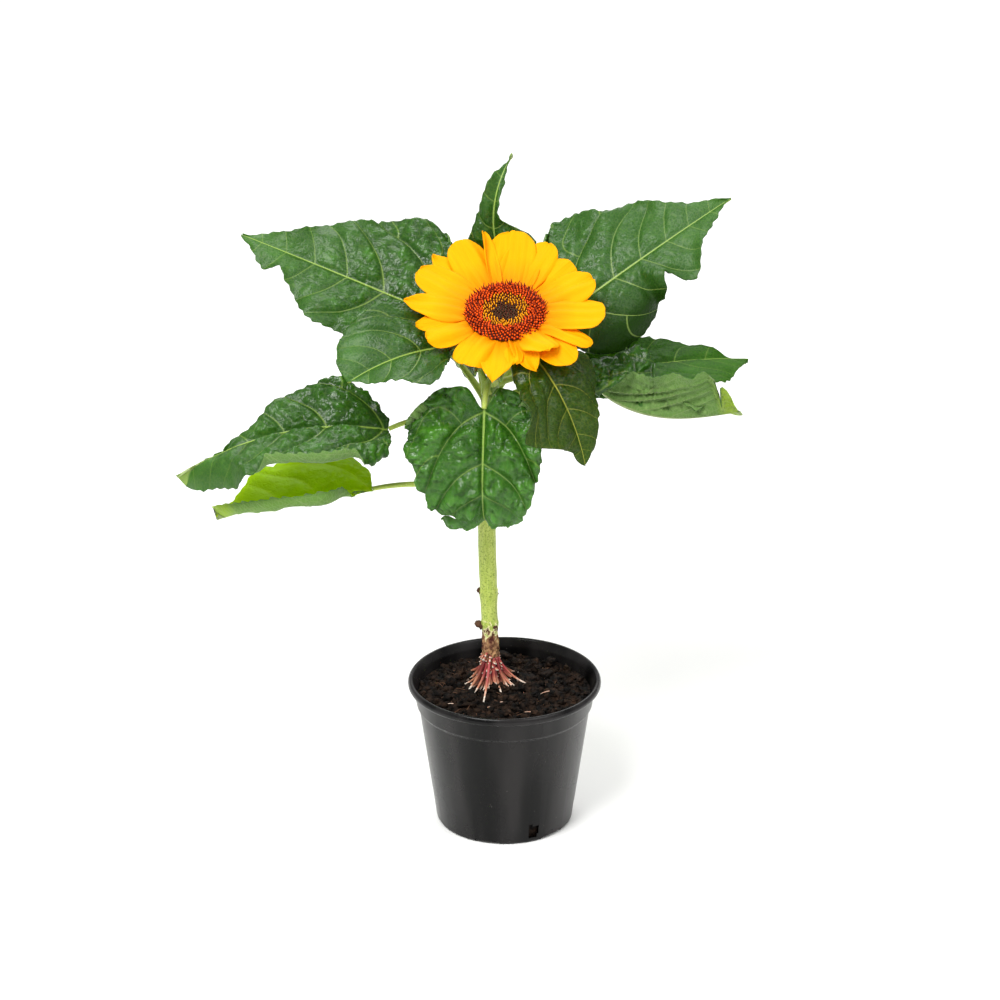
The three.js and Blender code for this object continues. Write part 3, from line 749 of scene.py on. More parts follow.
def leaf_underside():
    """Hairy underside: matt and grey-green, with standing veins."""
    material, add = new_material("leaf_underside_hairy")
    place = add("Attribute", out="Vector", attribute_name="place")
    tone = add("Attribute", out="Vector", attribute_name="tone")
    veins = vein_mask(add, place, tone)
    flat = add("VectorMath", {0: place, 1: (1, 1, 0)}, operation="MULTIPLY")
    net = add("TexVoronoi", {"Vector": flat, "Scale": 0.42}, feature="DISTANCE_TO_EDGE")
    fine = add("MapRange", {0: net, 1: 0.1, 2: 0.0, 3: 0.0, 4: 0.6})
    body = add("Mix", {0: fine, 6: "#648a3e", 7: "#8cab60"})
    u = add("SeparateXYZ", {0: tone}, 2)
    tip = add("MapRange", {0: u, 1: 0.86, 2: 0.93, 3: 0.0, 4: 0.8})
    body = add("Mix", {0: tip, 6: body, 7: "#a2c024"})
    colour = add("Mix", {0: veins, 6: body, 7: "#aec07e"})
    raised = add("Math", {0: veins, 1: fine}, operation="ADD")
    bump = add("Bump", {"Height": raised, "Strength": 0.8, "Distance": 0.0005})
    skin = {
        "Base Color": colour, "Roughness": 0.62, "IOR": 1.4, "Normal": bump,
        "Sheen Weight": 0.25, "Sheen Roughness": 0.5,
    }
    add_surface(add, skin, {"Color": "#a2c850"})
    return material


SKINS = {
    "fresh": leaf_skin("leaf_waxed_fresh", "#103604", "#3f7a1c", "#447a24", "#9dbb54", "#6f9f16"),
    # The pale skin is a paler copy: painted sheen on the upper right leaf, which faces up into the light.
    # Its shade darkens the lobe by the stalk.
    "pale": leaf_skin(
        "leaf_waxed_pale_painted_sheen", "#204e0c", "#44762c", "#457529", "#a2be60", "#6f9f24", 0.3, 0.36, shade=0.9,
    ),
    "bright": leaf_skin(
        "leaf_waxed_bright", "#184608", "#509026", "#549038", "#a4c45c", "#7fb41a", 0.3, 0.26,
    ),
    "thin": leaf_skin(
        "leaf_waxed_thin", "#143c04", "#3f7a1c", "#3d7412", "#9dbb54", "#6f9f16", 0.4, 0.5, 0.25,
    ),
    # The dark skin is a darker, olive copy: painted shade of the flower above, over the front right leaf's
    # own green.
    "dark": leaf_skin(
        "leaf_waxed_dark_painted_shade", "#1a3204", "#345406", "#3e5a10", "#b0b446", "#6a9416", shine=0.3,
    ),
    # The lit skin is a brightened copy, painted light: its near-neon colours stand in for the light that
    # reaches the low left leaf.
    "lit": leaf_skin(
        "leaf_waxed_lit", "#9cd000", "#b8e600", "#c0ea10", "#e4ec60", "#f4ff00", 0.66, shine=0.2,
    ),
}
UNDERSIDE = leaf_underside()
print("leaf skins:", list(SKINS))

# %% Grow the blades
LEAF_THICKNESS = 0.7


def stalk_line(row):
    at = stem_at(row["z"] - row["drop"])
    start = stem_point(at) + heading(row["stalk"]["turn"], 0) * stem_radius(at)
    return bent_line(start, **row["stalk"])


def blade_line(row):
    tip, ahead, _, _ = stalk_line(row)(1)
    return bent_line(tip + ahead * 1.5 * SLACK, **row["line"])


def grow_blade(name, row):
    line = blade_line(row)
    length, width = row["line"]["length"], row["width"]
    margins = {side: margin_table(row, side) for side in (-1, 1)}
    bm = bmesh.new()
    bmesh.ops.create_grid(
        bm, x_segments=round(length / CELL), y_segments=2 * round(width / CELL / 2), size=1,
    )
    point_layer(bm, "place")
    tone_layer = point_layer(bm)
    place_layer = point_layer(bm, "place")  # fetched anew, as adding a layer moves the others
    known = {}
    for vert in bm.verts:
        u, v = (vert.co.x + 1) / 2, vert.co.y
        vert.co, x, y, rolled = blade_point(line, row, u, v, margins)
        phase, s = vein_phase(row, x, y)
        outside = max(row["veins"][0] - s, 0) * length
        branch = (abs(y) - 0.45 * outside) / BRANCH_SPACE
        known[vert] = (x, y, u, v, phase, rolled)
        vert[place_layer] = (x, y, phase)
        vert[tone_layer] = (branch, 0, u)
    bm.normal_update()
    normals = {vert: vert.normal.copy() for vert in bm.verts}
    for vert, (x, y, u, v, phase, rolled) in known.items():
        height, cells = relief(row, x, y, u, v, phase)
        height *= 1 - 0.85 * rolled
        walked = edge_walk(margins, u, 1 if v > 0 else -1)
        wave = sin(walked / row["ripple_length"] * tau + row["seed"] + (v > 0) * 1.7)
        height += row["ripple"] * wave * abs(v) ** 3 * smooth(u, 0.0, 0.15) * (1 - 0.5 * rolled)
        vert.co += normals[vert] * height
        # How much of a bump each point is, kept for the material's painted shade in the valleys and painted
        # highlight on the blisters.
        vert[tone_layer][1] = cells
    piece = make_piece(bm, "blade_" + name, [SKINS[row["skin"]], UNDERSIDE], ["leaf_" + name])
    add_modifier(
        piece, "SOLIDIFY", thickness=LEAF_THICKNESS * MM, offset=-1, material_offset=1,
        material_offset_rim=0,
    )


for name, row in LEAVES.items():
    grow_blade(name, row)
print("blades grown:", len(LEAVES))

# %% [markdown]
# ## The pot
#
# A nursery pot is one thin sheet of black plastic that was drawn into a mould: a tapered wall, a
# step out into a collar, and a rim that is rolled outwards. Everything about it is round, so half of
# its section is drawn as a few points and spun. Its corners are then bevelled, because a moulded
# sheet has no sharp ones, and the slots, notches and holes are punched with a Boolean.

# %% Spin the pot
POT_WALL, POT_FLOOR, POT_BASE, POT_TAPER = 1.4, 2.2, 45.9, 0.138  # taper: radius gained per height
SHOULDER, COLLAR, LIP = 82.6, 84.2, 96.6  # heights at which the wall, the step and the collar end
COLLAR_RADIUS = 58.9
RIM_TOP = POT_HEIGHT + 3.6  # the roll stands a little over the solid's plain rim


def body_radius(z):
    return POT_BASE + POT_TAPER * z


def spin_profile(bm, profile, steps):
    """Spins a half section of (radius, height) points about the upright axis into a closed shape."""
    verts = [bm.verts.new((r, 0, z)) for r, z in profile]
    edges = [bm.edges.new(pair) for pair in zip(verts, verts[1:])]
    bmesh.ops.spin(
        bm, geom=verts + edges, axis=(0, 0, 1), cent=(0, 0, 0), angle=tau, steps=steps,
        use_merge=True,
    )
    bmesh.ops.remove_doubles(bm, verts=bm.verts, dist=1e-4)
    bmesh.ops.recalc_face_normals(bm, faces=bm.faces)


collar_top = COLLAR_RADIUS + 1.8
POT_SECTION = [
    (0, 0),
    (POT_BASE - 1.2, 0),
    (POT_BASE, 1.2),
    (body_radius(SHOULDER), SHOULDER),
    (COLLAR_RADIUS, COLLAR),
    (collar_top, LIP),
    (RIM_RADIUS - 0.9, LIP + 0.6),
    (RIM_RADIUS, LIP + 2.6),
    (RIM_RADIUS - 0.4, RIM_TOP - 1.5),
    (RIM_RADIUS - 1.6, RIM_TOP),
    (RIM_RADIUS - 3.2, RIM_TOP - 0.4),
    (collar_top - POT_WALL, LIP),
    (COLLAR_RADIUS - POT_WALL, COLLAR),
    (body_radius(SHOULDER) - POT_WALL, SHOULDER),
    (POT_BASE - POT_WALL, POT_FLOOR),
    (0, POT_FLOOR),
]
bm = bmesh.new()
spin_profile(bm, POT_SECTION, 144)
corners = [
    e for e in bm.edges
    if abs(e.verts[0].co.z - e.verts[1].co.z) < 1e-3
    and abs(e.verts[0].co.xy.length - e.verts[1].co.xy.length) < 1e-3
    and e.calc_face_angle(0) > 0.15
]
bmesh.ops.bevel(
    bm, geom=corners, offset=0.8, segments=3, profile=0.5, affect="EDGES", material=-1,
    clamp_overlap=True,
)
print("pot:", len(bm.faces), "faces,", len(corners), "bevelled edges")

# %% [markdown]
# ## Pot plastic
#
# Thermoformed black polypropylene: satin, so it mirrors a pale room as broad soft streaks, with
# small pale scuffs where pots are pulled apart. One noise, stretched upwards, gives the wall a slight
# upright relief and lightens its colour in the same streaks, a painted reflection of the room's pale
# panels, so that the two agree.

# %% Pot plastic
pot_plastic, add = new_material("satin_black_polypropylene")
coords = add("TexCoord", out="Object")
# The draw into the mould leaves a slight upright relief, about 26 mm apart round the wall; the same
# streaks in the colour are a painted reflection of the pale studio panels.
squeezed = add("Mapping", {"Vector": coords, "Scale": (38, 38, 3)})
drag_and_reflection_streaks = add("TexNoise", {"Vector": squeezed, "Scale": 1.0, "Detail": 2})
cloud = add("TexNoise", {"Vector": coords, "Scale": 28, "Detail": 3})
specks = add("TexNoise", {"Vector": coords, "Scale": 900, "Detail": 1})
dust = add("MapRange", {0: specks, 1: 0.77, 2: 0.83})
# Painted reflection: the plastic is lighter along the streaks.
streak = add("MapRange", {0: drag_and_reflection_streaks, 1: 0.35, 2: 0.65}, interpolation_type="SMOOTHSTEP")
plastic = add("Mix", {0: streak, 6: "#040404", 7: "#272525"})
plastic = add("Mix", {0: dust, 6: plastic, 7: "#6d6b66"})
gloss = add("MapRange", {0: cloud, 1: 0.3, 2: 0.7, 3: 0.24, 4: 0.32})
bump = add("Bump", {"Height": drag_and_reflection_streaks, "Strength": 0.35, "Distance": 0.0012})
add_surface(add, {
    "Base Color": plastic, "Roughness": gloss, "IOR": 1.49, "Specular IOR Level": 0.2, "Normal": bump,
})
print("pot plastic:", len(pot_plastic.node_tree.nodes), "nodes")

# %% Punch the slots, notches and holes
pot = make_piece(bm, "pot_moulded", [pot_plastic], ["pot"])


def punch(turn, radius, z, size, shape="box"):
    """Adds one punch to the cutter: size is depth, width and height."""
    at = Matrix.Rotation(radians(turn), 4, "Z") @ Matrix.Translation((radius, 0, z))
    at = at @ Matrix.Diagonal((*size, 1))
    if shape == "box":
        bmesh.ops.create_cube(cutter, size=1, matrix=at)
    else:
        bmesh.ops.create_cone(
            cutter, cap_ends=True, segments=24, radius1=0.5, radius2=0.5, depth=1, matrix=at,
        )


# Each slot is ragged, from three overlapping boxes. The sixth was never opened.
cutter = bmesh.new()
for i in range(6):
    punch(255 + 60 * i, POT_BASE, 0, (10, 17, 4.4))
    if i < 5:
        punch(294 + 60 * i, POT_BASE, 7.7, (10, 6, 8.6))
        punch(296 + 60 * i, POT_BASE, 9.4, (10, 5, 6.4))
        punch(291.8 + 60 * i, POT_BASE, 12.2, (10, 2.6, 4.4))
    punch(294 + 60 * i, 33, 1, (8, 8, 9), "rod")
cutter_piece = mesh_object(cutter, "cutter")
add_modifier(pot, "BOOLEAN", object=cutter_piece, operation="DIFFERENCE", solver="EXACT", use_self=True)
bpy.context.view_layer.update()
punched = bpy.data.meshes.new_from_object(pot.evaluated_get(bpy.context.evaluated_depsgraph_get()))
pot.modifiers.clear()
pot.data = punched
punched.shade_smooth()
punched.set_sharp_from_angle(angle=radians(38))
bpy.data.objects.remove(cutter_piece)
assert len(punched.polygons) > 5000, "the punch removed the pot"
print("pot after punching:", len(punched.polygons), "faces")

# %% [markdown]
# ## The compost
#
# Potting compost is dark, moist and crumbly: shredded bark and peat in lumps of one to six
# millimetres. Seen from above it is mostly shadow between lumps. A closed body is spun to fill the
# pot, its top is pushed up and down by noise at two sizes, and loose crumbs are scattered over it.

# %% Spin and roughen the compost
SOIL_LEVEL, MOUND, MOUND_RADIUS, FLAT_RADIUS = 92, 5, 34, 8.5
SOIL_RADIUS = COLLAR_RADIUS + 0.9 - POT_WALL - SLACK


def soil_height(x, y):
    """The compost's own surface: a low mound, broad lumps and finer crumbs."""
    away = hypot(x - FOOT.x, y - FOOT.y)
    mound = MOUND * bell(away, MOUND_RADIUS)
    rough = smooth(away, FLAT_RADIUS - 3, FLAT_RADIUS + 5)
    lumps = sin(x * 0.21 + 1.3) * cos(y * 0.26 + 0.4) + 0.6 * sin(x * 0.43 - y * 0.37 + 2.1)
    warp = Vector((ripple_at(x / 5, y / 5, 1.7), ripple_at(x / 5, y / 5, 8.1), 0))
    at = Vector((x, y, 0)) + warp * 2.2
    near, _ = noise.voronoi(Vector((at.x / 8.5, at.y / 8.5, 4.2)))
    clods = 6.2 * (0.5 - near[0])
    near, _ = noise.voronoi(Vector((at.x / 3.2, at.y / 3.2, 9.7)))
    crumbs = 2.4 * (0.45 - near[0])
    return SOIL_LEVEL + mound + rough * (1.3 * lumps + clods + crumbs) - 1.2


def soil_point(x, y, z):
    edge = smooth(SOIL_RADIUS - hypot(x, y), 0, 4)
    return mix(z, soil_height(x, y), edge)


inner = [
    (0, POT_FLOOR + SLACK),
    (body_radius(0) - POT_WALL - SLACK - 0.4, POT_FLOOR + SLACK),
    (body_radius(SHOULDER) - POT_WALL - SLACK - 0.4, SHOULDER),
    (COLLAR_RADIUS - POT_WALL - SLACK - 0.4, COLLAR),
]
SOIL_RINGS = 64
top = [(SOIL_RADIUS * (1 - i / SOIL_RINGS), SOIL_LEVEL - 0.5) for i in range(SOIL_RINGS + 1)]
bm = bmesh.new()
spin_profile(bm, inner + top, 260)
for vert in bm.verts:
    if vert.co.z > SOIL_LEVEL - 1:
        vert.co.z = soil_point(*vert.co)

# Moist peat and bark: nearly black brown, dull, with a few paler woody bits.
compost_skin, add = new_material("moist_peat_and_bark")
coords = add("TexCoord", out="Object")
blotch = add("TexNoise", {"Vector": coords, "Scale": 160, "Detail": 4})
shred = add("MapRange", {0: blotch, 1: 0.4, 2: 0.62})
bits = add("TexVoronoi", {"Vector": coords, "Scale": 420})
peat = add("Mix", {0: shred, 6: "#030100", 7: "#281b12"})
pick = add("MapRange", {0: blotch, 1: 0.62, 2: 0.72, 3: 0.0, 4: 0.5})
peat = add("Mix", {0: pick, 6: peat, 7: "#4a3324"})
bump = add("Bump", {"Height": bits, "Strength": 0.9, "Distance": 0.0009})
add_surface(add, {
    "Base Color": peat, "Roughness": 0.8, "IOR": 1.33, "Specular IOR Level": 0.3, "Normal": bump,
})
make_piece(bm, "compost_body", [compost_skin], ["compost"])
print("compost rings:", SOIL_RINGS)

# %% [markdown]
# ## Loose crumbs
#
# Peat and bark lie on the compost as loose crumbs and clods. One crumb is an icosphere of twenty
# faces with its corners pushed about, so that hundreds of them stay light. All the crumbs are one
# mesh, and all the clods are another.

# %% Scatter crumbs
CRUMBS, CLODS = 1700, 520


def scatter(i, salt, inset):
    """A chance place on the compost, at least an inset from its edge."""
    away, turn = (SOIL_RADIUS - inset) * sqrt(chance(i, salt)), tau * chance(i, salt + 1)
    return away * cos(turn), away * sin(turn)


def add_crumb(bm, i, centre, size, salt):
    spin = Matrix.Rotation(chance(i, salt) * 6.3, 4, Vector((around(i, salt + 1), around(i, salt + 2), 1)))
    squash = Matrix.Diagonal((size * (0.7 + chance(i, salt + 3)), size, size * 0.75, 1))
    made = bmesh.ops.create_icosphere(
        bm, subdivisions=1, radius=1, matrix=Matrix.Translation(centre) @ spin @ squash,
    )
    for j, vert in enumerate(made["verts"]):
        vert.co += (vert.co - centre) * 0.35 * around(i * 12 + j, salt + 4)


bm = bmesh.new()
for i in range(CRUMBS):
    x, y = scatter(i, 21, 1.6)
    size = 0.5 + 2.1 * chance(i, 23) ** 3
    if hypot(x - FOOT.x, y - FOOT.y) > STEM_FOOT + 3:
        z = soil_point(x, y, SOIL_LEVEL) + size * 0.2
        add_crumb(bm, i, Vector((x, y, z)), size, 24)
make_piece(bm, "compost_crumbs", [compost_skin], flat=True)

# Bigger clods are rounder, so each is an icosphere of eighty faces, dented by noise and half sunk.
bm = bmesh.new()
for i in range(CLODS):
    x, y = scatter(i, 26, 3.4)
    size = 0.7 + 2.9 * chance(i, 28) ** 2.6
    if hypot(x - FOOT.x, y - FOOT.y) < STEM_FOOT + 5:
        continue
    centre = Vector((x, y, soil_point(x, y, SOIL_LEVEL) + size * (0.5 * chance(i, 29) - 0.1)))
    squash = Matrix.Diagonal((1.0 + 0.5 * chance(i, 30), 1.0, 0.62 + 0.3 * chance(i, 31), 1))
    spin = Matrix.Rotation(6.3 * chance(i, 32), 4, Vector((0.3 * around(i, 33), 0.3 * around(i, 34), 1)))
    made = bmesh.ops.create_icosphere(
        bm, subdivisions=2, radius=size, matrix=Matrix.Translation(centre) @ spin @ squash,
    )
    for vert in made["verts"]:
        out = vert.co - centre
        dent = noise.noise(out / 1.3 + Vector((i, 0, 0))) + 0.7 * noise.noise(out * 1.6 + Vector((0, i, 0)))
        vert.co += out * 1.2 * dent
make_piece(bm, "compost_clods", [compost_skin])
print("crumbs:", CRUMBS, "clods:", CLODS)

# %% [markdown]
# ## Stem
#
# The stem is fleshy and green, swollen where leaves join it, and finely ridged lengthwise. It is a
# grid rolled into a tube along the stem's own curve. At its foot the skin turns to cracked brown
# bark, out of which the prop roots grow. Both the relief and the colour change at the same height.

# %% Roll the stem
STEM_STEPS, STEM_SIDES = 260, 48
BARK_TOP = FOOT.z + 37


def stem_place(t, turn):
    point, _, left, up = stem_frame(t)
    angle = tau * turn
    z = point.z
    bark = 1 - smooth(z + 3 * sin(angle * 2 + 1), BARK_TOP - 5, BARK_TOP + 1)
    radius = stem_radius(t) + 0.1 * sin(angle * 11 + z * 0.02) + 0.12 * sin(angle * 3 + z * 0.06)
    radius += 0.25 * ripple_at(cos(angle) * 2, sin(angle) * 2, z / 9)
    for joint in NODES:
        scar = bell(z - joint - 2.2 - 1.5 * sin(angle + joint), 0.8)
        radius += 0.35 * scar
    cracks = ripple_at(cos(angle) * 5, sin(angle) * 5, z / 2.4)
    radius += bark * (0.5 + 1.5 * cracks)
    return point + turned(left, up, angle)[0] * radius


bm = bmesh.new()
rolled_grid(bm, STEM_STEPS, STEM_SIDES, stem_place)
bmesh.ops.holes_fill(bm, edges=[e for e in bm.edges if e.is_boundary], sides=0)

# Living stem skin: pale yellow-green, satin, stippled by the feet of fine hairs, and darker and
# bluer near the flower. The bark at its foot is a dry fawn brown.
stem_skin, add = new_material("green_stem_skin")
coords = add("TexCoord", out="Object")
height = add("SeparateXYZ", {0: coords}, 2)
streak_at = add("Mapping", {"Vector": coords, "Scale": (700, 700, 90)})
streak = add("TexNoise", {"Vector": streak_at, "Scale": 1, "Detail": 3})
dots = add("TexNoise", {"Vector": coords, "Scale": 900, "Detail": 2})
dots = add("MapRange", {0: dots, 1: 0.5, 2: 0.66, 3: 0.0, 4: 0.7})
green = add("Mix", {0: streak, 6: "#86a01e", 7: "#d2da78"})
top = add("MapRange", {0: height, 1: 0.23, 2: 0.33})
green = add("Mix", {0: top, 6: green, 7: "#6f8a4c"})
green = add("Mix", {0: dots, 6: green, 7: "#5d7a1e"})
bark_noise = add("TexNoise", {"Vector": coords, "Scale": 300, "Detail": 5})
bark_noise = add("MapRange", {0: bark_noise, 1: 0.36, 2: 0.64})
bark = add("Mix", {0: bark_noise, 6: "#481a12", 7: "#c29468"})
ragged = add("Math", {0: bark_noise, 1: 0.012, 2: height}, operation="MULTIPLY_ADD")
barked = add("MapRange", {0: ragged, 1: (BARK_TOP + 6) * MM, 2: (BARK_TOP + 2) * MM})
# Where the green skin ends it is torn and shows the cream-coloured tissue under it.
torn = add("MapRange", {0: ragged, 1: (BARK_TOP + 9) * MM, 2: (BARK_TOP + 7) * MM})
green = add("Mix", {0: torn, 6: green, 7: "#ddd9a0"})
colour = add("Mix", {0: barked, 6: green, 7: bark})
rough = add("MapRange", {0: barked, 3: 0.45, 4: 0.85})
grain = add("Math", {0: streak, 1: dots}, operation="ADD")
bump = add("Bump", {"Height": grain, "Strength": 0.4, "Distance": 0.0003})
add_surface(add, {
    "Base Color": colour, "Roughness": rough, "IOR": 1.42, "Normal": bump,
    "Subsurface Weight": 0.15, "Subsurface Radius": (0.002, 0.003, 0.001), "Subsurface Scale": 1.0,
})
make_piece(bm, "stem_living", [stem_skin], ["stem"], closed=True)
print("stem rings:", STEM_STEPS)

# %% [markdown]
# ## Prop roots
#
# Rows of stubby roots break out of the foot of the stem. Those that reach the compost arch down to
# it and spread over it, pink at the base and white at the tip. Each is a thin rolled grid along a
# bent line, and an attribute runs from 0 at its base to 1 at its tip to carry the colour.

# %% Grow the prop roots
ROOT_ROWS = [4, 8, 12, 15, 18]  # heights over the stem's foot
ROOTS_IN_ROW, STUBS = 10, 84


def grow_limb(bm, line, radius_at, steps, sides, pick=0.0, flute=0.0):
    """Adds a tapering round limb along a line, closed at both ends. Its tone is the share of its
    length and a chance number."""
    layer = point_layer(bm)

    def place(t, turn):
        point, _, left, up = line(t)
        angle = tau * turn
        radius = radius_at(t) * (1 - flute * bell(sin(angle) - 1, 0.5))
        return point + turned(left, up, angle)[0] * radius

    verts = rolled_grid(bm, steps, sides, place)
    start, along = line(0)[0], line(1)[0] - line(0)[0]
    for vert in verts:
        share = (vert.co - start).dot(along) / max(along.length_squared, 1e-6)
        vert[layer] = (share, pick, 0)
    rims = [e for v in verts for e in v.link_edges if e.is_boundary]
    bmesh.ops.holes_fill(bm, edges=list(set(rims)), sides=0)


def root_line(row, i):
    turn = 360 / ROOTS_IN_ROW * (i + 0.5 * row) + 12 * around(i, row)
    low = ROOT_ROWS[row]
    start = FOOT + heading(turn, 0) * (STEM_FOOT - 0.6) + Vector((0, 0, low))
    reach = (6 + low * 0.62) * (0.4 + 1.0 * chance(i, row + 5))
    x, y = (start + heading(turn, 0) * reach).xy
    ground = soil_point(x, y, SOIL_LEVEL) + 0.8
    drop = start.z - ground
    slope = degrees(atan2(drop, reach))
    arch = 14 + 16 * chance(i, row + 9)
    return bent_line(start, turn, -slope - arch, hypot(reach, drop), sag=2 * arch)


bm = bmesh.new()
for row in range(len(ROOT_ROWS)):
    for i in range(ROOTS_IN_ROW):
        thick = 0.85 + 0.5 * chance(i, row + 30)
        grow_limb(bm, root_line(row, i), lambda t: mix(thick, 0.5, t * t), 9, 7, chance(i, row + 40))
# Short pink stubs stand out between the roots and have not reached the compost.
for i in range(STUBS):
    turn = 150 + 250 * chance(i, 51)
    height = 3 + 17 * chance(i, 52) + 9 * chance(i, 55) * bell(turn - 200, 45)
    start = FOOT + heading(turn, 0) * (STEM_FOOT - 0.4) + Vector((0, 0, height))
    stub = bent_line(start, turn, -20, 1.6 + 2.6 * chance(i, 53), sag=-20)
    grow_limb(bm, stub, lambda t: 0.85 * (1 - 0.4 * t * t), 3, 7, chance(i, 54))

# Young roots: moist and fleshy, pink-red where light has coloured them and white at the tip.
root_skin, add = new_material("young_root_skin")
tone = add("Attribute", out="Vector", attribute_name="tone")
along, pick, _ = add("SeparateXYZ", {0: tone}, SPLIT)
coords = add("TexCoord", out="Object")
blotch = add("TexNoise", {"Vector": coords, "Scale": 300, "Detail": 2})
red = add("Mix", {0: pick, 6: "#4c1212", 7: "#b4484a"})
where = add("Math", {0: blotch, 1: 0.5, 2: along}, operation="MULTIPLY_ADD")
middle = add("MapRange", {0: where, 1: 0.6, 2: 1.15})
root = add("Mix", {0: middle, 6: red, 7: "#d0906c"})
ends = add("MapRange", {0: where, 1: 1.0, 2: 1.25})
root = add("Mix", {0: ends, 6: root, 7: "#f4ebdc"})
add_surface(add, {"Base Color": root, "Roughness": 0.45, "IOR": 1.4})
make_piece(bm, "prop_roots", [root_skin], closed=True)
print("roots:", len(ROOT_ROWS) * ROOTS_IN_ROW, "stubs:", STUBS)

# %% [markdown]
# ## Scars and litter
#
# Four lower leaves have dropped: each left a short dry stub on the stem, brown and dull. The same
# dry tissue makes the thin fibres that lie in peat, and a few broken ends of pink root lie there too.
# All of them are limbs again, only shorter and thinner.

# %% Scars, fibres and root bits
# turn, height over the foot, length, thickness
SCARS = [(186, 40, 5.0, 3.0), (184, 65, 2.2, 2.4), (20, 62, 1.2, 1.6), (310, 41, 0.8, 2.0)]
FIBRES, ROOT_BITS = 110, 7
RIPE_PINK = (0.85, 0.9, 0)  # the tone of a root near its pale end

dry_skin, add = new_material("dry_brown_fibre")
coords = add("TexCoord", out="Object")
blotch = add("TexNoise", {"Vector": coords, "Scale": 600, "Detail": 3})
dry = add("Mix", {0: blotch, 6: "#24130b", 7: "#6b4a33"})
add_surface(add, {"Base Color": dry, "Roughness": 0.85, "IOR": 1.4})

bm = bmesh.new()
for turn, height, long, thick in SCARS:
    at = stem_at(FOOT.z + height)
    start = stem_point(at) + heading(turn, 0) * (stem_radius(at) - 0.6)
    stub = bent_line(start, turn, 24, long, sag=10)
    grow_limb(bm, stub, lambda t: thick * (1 - 0.4 * t) * (1 + 0.16 * sin(9 * t + height)), 6, 12)
make_piece(bm, "leaf_scars", [dry_skin], closed=True)


def lying_line(i, salt, long):
    """A thin thing that lies on the compost, at a chance place, a little bent."""
    x, y = scatter(i, salt, 12)
    start = Vector((x, y, soil_point(x, y, SOIL_LEVEL) + 1.2))
    return bent_line(start, 360 * chance(i, salt + 2), 14 * around(i, salt + 3), long, sag=-30)


bm = bmesh.new()
for i in range(FIBRES):
    long = 3 + 8 * chance(i, 81) ** 2
    grow_limb(bm, lying_line(i, 82, long), lambda t: 0.28, 4, 5)
make_piece(bm, "compost_fibres", [dry_skin], closed=True)

bm = bmesh.new()
for i in range(ROOT_BITS):
    grow_limb(bm, lying_line(i, 90, 4 + 3 * chance(i, 96)), lambda t: 0.34 * (1 - 0.5 * t), 6, 6)
layer = point_layer(bm)
for vert in bm.verts:
    vert[layer] = RIPE_PINK
make_piece(bm, "loose_root_bits", [root_skin], closed=True)
print("scars:", len(SCARS), "fibres:", FIBRES)

# %% [markdown]
# ## Leaf stalks
#
# A stalk widens where it clasps the stem, has a shallow groove along its top, and ends at the base
# of its blade, where the midrib takes over. It is the same limb as a root, with its groove added.

# %% Grow the stalks
# Stalk skin: the same living tissue as the stem, but a fresher green, with short white hairs.
stalk_skin, add = new_material("green_stalk_skin")
coords = add("TexCoord", out="Object")
cloud = add("TexNoise", {"Vector": coords, "Scale": 70, "Detail": 3})
dots = add("TexVoronoi", {"Vector": coords, "Scale": 900})
dots = add("MapRange", {0: dots, 1: 0.35, 2: 0.1, 3: 0.0, 4: 0.5})
green = add("Mix", {0: cloud, 6: "#92b020", 7: "#c4d26c"})
green = add("Mix", {0: dots, 6: green, 7: "#d6dcb0"})
bump = add("Bump", {"Height": dots, "Strength": 0.5, "Distance": 0.0003})
add_surface(add, {"Base Color": green, "Roughness": 0.5, "IOR": 1.42, "Normal": bump})


STALK_ROOT, STALK_TIP = 2.7, 1.7


def grow_stalk(name, row):
    bm = bmesh.new()
    line = stalk_line(row)
    length = row["stalk"]["length"]

    def inward(t):
        return line(-0.08 + 1.09 * t)

    def radius_at(t):
        return mix(STALK_ROOT, STALK_TIP, t) + 1.3 * bell(t * length, 4.5)

    grow_limb(bm, inward, radius_at, round(length / 1.6), 16, flute=0.22)
    make_piece(bm, "stem_" + name, [stalk_skin], ["stalk_" + name], closed=True)


for name, row in LEAVES.items():
    grow_stalk(name, row)
print("stalks:", len(LEAVES))

# %% [markdown]
# ## Flower head
#
# The head is built flat, with its axis upright, and every piece is then leaned over by one matrix.
# Its petals are really twenty separate small flowers, each with one long yellow tongue. No two
# match: they overlap in two layers, and some are twisted, cupped or turned down at the tip. So the
# row of each petal names its own turn, reach, width and bends.

# %% Petals
HEAD_MATRIX = Matrix.Translation(HEAD_CENTRE) @ to_direction(HEAD_AXIS)
PETAL_ROOT = 19.5
